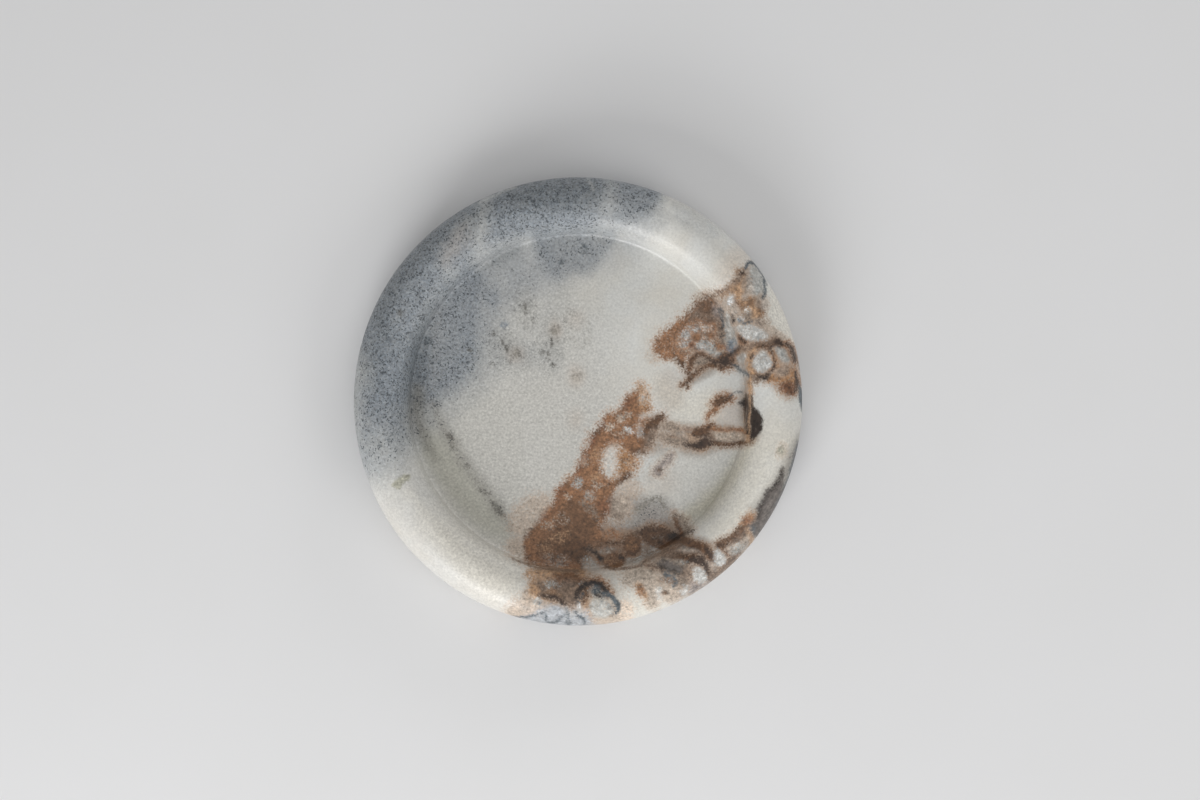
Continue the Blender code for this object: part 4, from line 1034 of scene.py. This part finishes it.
def feltPad(number):
    low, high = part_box(f"felt_pad_{number}")
    sizes = padShape
    x, y, radius = (low[0] + high[0]) / 2, (low[1] + high[1]) / 2, (high[0] - low[0]) / 2
    nap = sizes["nap"] / 1000
    pad = roundDisc(f"wool_felt_pad_{number}", x, y, radius - nap, low[2] + nap, high[2] - nap / 2,
                    sizes["points"], sizes["edgeRound"])
    bpy.ops.object.mode_set(mode="EDIT")
    bpy.ops.mesh.select_all(action="SELECT")
    bpy.ops.mesh.normals_make_consistent(inside=False)
    for ring in range(sizes["rings"]):
        work = bmesh.from_edit_mesh(pad.data)
        for face in work.faces:
            face.select = len(face.verts) == sizes["points"]
        bmesh.update_edit_mesh(pad.data)
        bpy.ops.mesh.inset(thickness=radius / (sizes["rings"] + 2), use_individual=True)
    bpy.ops.mesh.select_all(action="SELECT")
    bpy.ops.mesh.remove_doubles(threshold=1e-6)
    bpy.ops.object.mode_set(mode="OBJECT")
    bpy.ops.object.shade_smooth()
    lifts = []
    for vert in pad.data.vertices:
        lift = sum(share * noise.noise(vert.co * 1000 / apart) for share, apart in sizes["tufts"])
        lifts.append(vert.normal * nap * max(-1.0, min(1.0, lift)))
    for vert, lift in zip(pad.data.vertices, lifts):
        vert.co += lift
    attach(pad, "root")
    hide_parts(f"felt_pad_{number}")
    # the glue reaches from the wool to the stone
    glue = roundDisc(f"glue_film_{number}", x, y, radius - sizes["glueInset"] / 1000, high[2] - nap / 4,
                     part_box("stone_tray")[0][2], sizes["gluePoints"], sizes["glueRound"])
    bpy.ops.object.shade_smooth()
    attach(glue, "root")
    return pad, glue


# Pressed wool felt: matted fibres of slightly different greys, with a soft nap and no shine at all.

feltLook = {
    "fibres": (1600, 3, 2.5),        # 0.6 mm, detail, how tangled; drawn coarser than wool is, to show
    "clumps": (300, 2),              # 3.3 mm
    "greys": ("#9A968F", "#B8B4AC", 0.35, 0.65),    # dark, light, where each is full
    "cast": (0.3, 0.7, 0.88, 1.08),  # from and to in the clumps, and the lightness there
    "bump": (0.6, 0.0001),           # strength, and metres high
    "roughness": 0.95,
    "sheen": (0.25, 0.5),            # weight, roughness
}


def feltMaterial():
    look = feltLook
    felt, tree, shader, place = startMaterial("pressed_wool_felt")
    scale, detail, tangle = look["fibres"]
    matted = addNode(tree, "TexNoise", {"Scale": scale, "Detail": detail, "Distortion": tangle},
                     {"Vector": place})
    scale, detail = look["clumps"]
    clumps = addNode(tree, "TexNoise", {"Scale": scale, "Detail": detail}, {"Vector": place})
    dark, light, begins, ends = look["greys"]
    greys = addNode(tree, "MapRange", {1: begins, 2: ends}, {0: matted.outputs["Fac"]})
    fibre = addNode(tree, "Mix", {"data_type": "RGBA", 6: linearColour(dark), 7: linearColour(light)},
                    {0: greys})
    begins, ends, darkest, lightest = look["cast"]
    cast = addNode(tree, "MapRange", {1: begins, 2: ends, 3: darkest, 4: lightest},
                   {0: clumps.outputs["Fac"]})
    tone = addNode(tree, "VectorMath", {"operation": "SCALE"}, {0: fibre.outputs[2], 3: cast})
    tree.links.new(tone.outputs[0], shader.inputs["Base Color"])
    strength, tall = look["bump"]
    wool = addNode(tree, "Bump", {"Strength": strength, "Distance": tall},
                   {"Height": matted.outputs["Fac"]})
    tree.links.new(wool.outputs[0], shader.inputs["Normal"])
    shader.inputs["Roughness"].default_value = look["roughness"]
    for name, value in zip(("Sheen Weight", "Sheen Roughness"), look["sheen"]):
        shader.inputs[name].default_value = value
    return felt


# Rubber glue dried to a thin amber film, a little uneven.

glueLook = {
    "smears": (220, 2),                 # 4.5 mm, detail
    "ambers": ("#A48C5F", "#C4B28A"),
    "roughness": 0.4,
}


def glueMaterial():
    glue, tree, shader, place = startMaterial("dried_contact_glue")
    scale, detail = glueLook["smears"]
    smears = addNode(tree, "TexNoise", {"Scale": scale, "Detail": detail}, {"Vector": place})
    dark, light = glueLook["ambers"]
    tone = addNode(tree, "Mix", {"data_type": "RGBA", 6: linearColour(dark), 7: linearColour(light)},
                   {0: smears.outputs["Fac"]})
    tree.links.new(tone.outputs[2], shader.inputs["Base Color"])
    shader.inputs["Roughness"].default_value = glueLook["roughness"]
    return glue


felt, glue = feltMaterial(), glueMaterial()
for number in (1, 2, 3, 4):
    pad, film = feltPad(number)
    pad.data.materials.append(felt)
    film.data.materials.append(glue)
print("pads stuck on: 4")


# Table, light and camera

photoFrame = {
    "width": 1200, "height": 800,          # px
    "trayCentre": (578.05, 401.4),         # px, middle of the tray's outline
    "trayRadius": 224.05,                  # px
    "lens": 85.0, "sensor": 36.0,          # mm
}

lamps = {    # azimuth and height in degrees, metres away, width, height, watts
    "main": (245, 28, 1.5, 0.7, 0.6, 9.1),
    "mainLow": (250, 18, 1.5, 0.9, 0.4, 6.7),
    "right": (325, 33, 1.5, 0.8, 0.6, 3.8),
    "back": (60, 20, 1.5, 0.8, 0.5, 3.5),
    "top": (320, 75, 1.6, 1.0, 1.0, 1.8),
    "left": (130, 15, 1.5, 0.6, 0.4, 0.7),
}
roomLight = 0.398    # strength of the white world


def placeCamera():
    photo = photoFrame
    low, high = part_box("stone_tray")
    perPixel = high[0] / photo["trayRadius"]
    away = photo["lens"] / photo["sensor"] * photo["width"] * perPixel
    data = bpy.data.cameras.new("camera")
    data.lens, data.sensor_width = photo["lens"], photo["sensor"]
    camera = bpy.data.objects.new("camera", data)
    camera.location = ((photo["width"] / 2 - photo["trayCentre"][0]) * perPixel,
                       (photo["trayCentre"][1] - photo["height"] / 2) * perPixel,
                       (low[2] + high[2]) / 2 + away)
    bpy.context.scene.collection.objects.link(camera)
    bpy.context.scene.camera = camera


def softBox(name, azimuth, elevation, distance, width, height, power):
    data = bpy.data.lights.new(name, "AREA")
    data.shape = "RECTANGLE"
    data.size, data.size_y = width, height
    data.energy = power
    lamp = bpy.data.objects.new(name, data)
    side, up = math.radians(azimuth), math.radians(elevation)
    flat = math.cos(up)
    place = Vector((math.cos(side) * flat, math.sin(side) * flat, math.sin(up))) * distance
    lamp.location = place
    lamp.rotation_mode = "QUATERNION"
    lamp.rotation_quaternion = (-place).to_track_quat("-Z", "Y")
    lamp.visible_camera = False
    bpy.context.scene.collection.objects.link(lamp)


# Matt paint put on with a roller: a fine stipple, and coats that differ by a hair.

tableTop = {
    "size": 8,                          # metres
    "stipple": (700, 2),                # 1.4 mm, detail
    "coats": (14, 3),                   # 71 mm, detail
    "paints": ("#E0E0E0", "#E3E3E4"),
    "bump": (0.06, 0.00004),            # strength, and metres high
    "roughness": 0.9,
    "shine": 0.2,
}


def layTable():
    deselectAll()
    bpy.ops.mesh.primitive_plane_add(size=tableTop["size"], location=(0, 0, 0))
    table = bpy.context.active_object
    table.name = table.data.name = "table"
    paint, tree, shader, place = startMaterial("painted_table")
    scale, detail = tableTop["stipple"]
    rolled = addNode(tree, "TexNoise", {"Scale": scale, "Detail": detail}, {"Vector": place})
    scale, detail = tableTop["coats"]
    coats = addNode(tree, "TexNoise", {"Scale": scale, "Detail": detail}, {"Vector": place})
    dark, light = tableTop["paints"]
    tone = addNode(tree, "Mix", {"data_type": "RGBA", 6: linearColour(dark), 7: linearColour(light)},
                   {0: coats.outputs["Fac"]})
    tree.links.new(tone.outputs[2], shader.inputs["Base Color"])
    strength, tall = tableTop["bump"]
    stipple = addNode(tree, "Bump", {"Strength": strength, "Distance": tall},
                      {"Height": rolled.outputs["Fac"]})
    tree.links.new(stipple.outputs[0], shader.inputs["Normal"])
    shader.inputs["Roughness"].default_value = tableTop["roughness"]
    shader.inputs["Specular IOR Level"].default_value = tableTop["shine"]
    table.data.materials.append(paint)


placeCamera()
layTable()
for name, setting in lamps.items():
    softBox(name, *setting)
world = bpy.data.worlds.new("studio")
world.use_nodes = True
world.node_tree.nodes["Background"].inputs["Color"].default_value = (1, 1, 1, 1)
world.node_tree.nodes["Background"].inputs["Strength"].default_value = roomLight
bpy.context.scene.world = world
bpy.context.scene.view_settings.view_transform = "Standard"
print("table, lamps and camera placed")
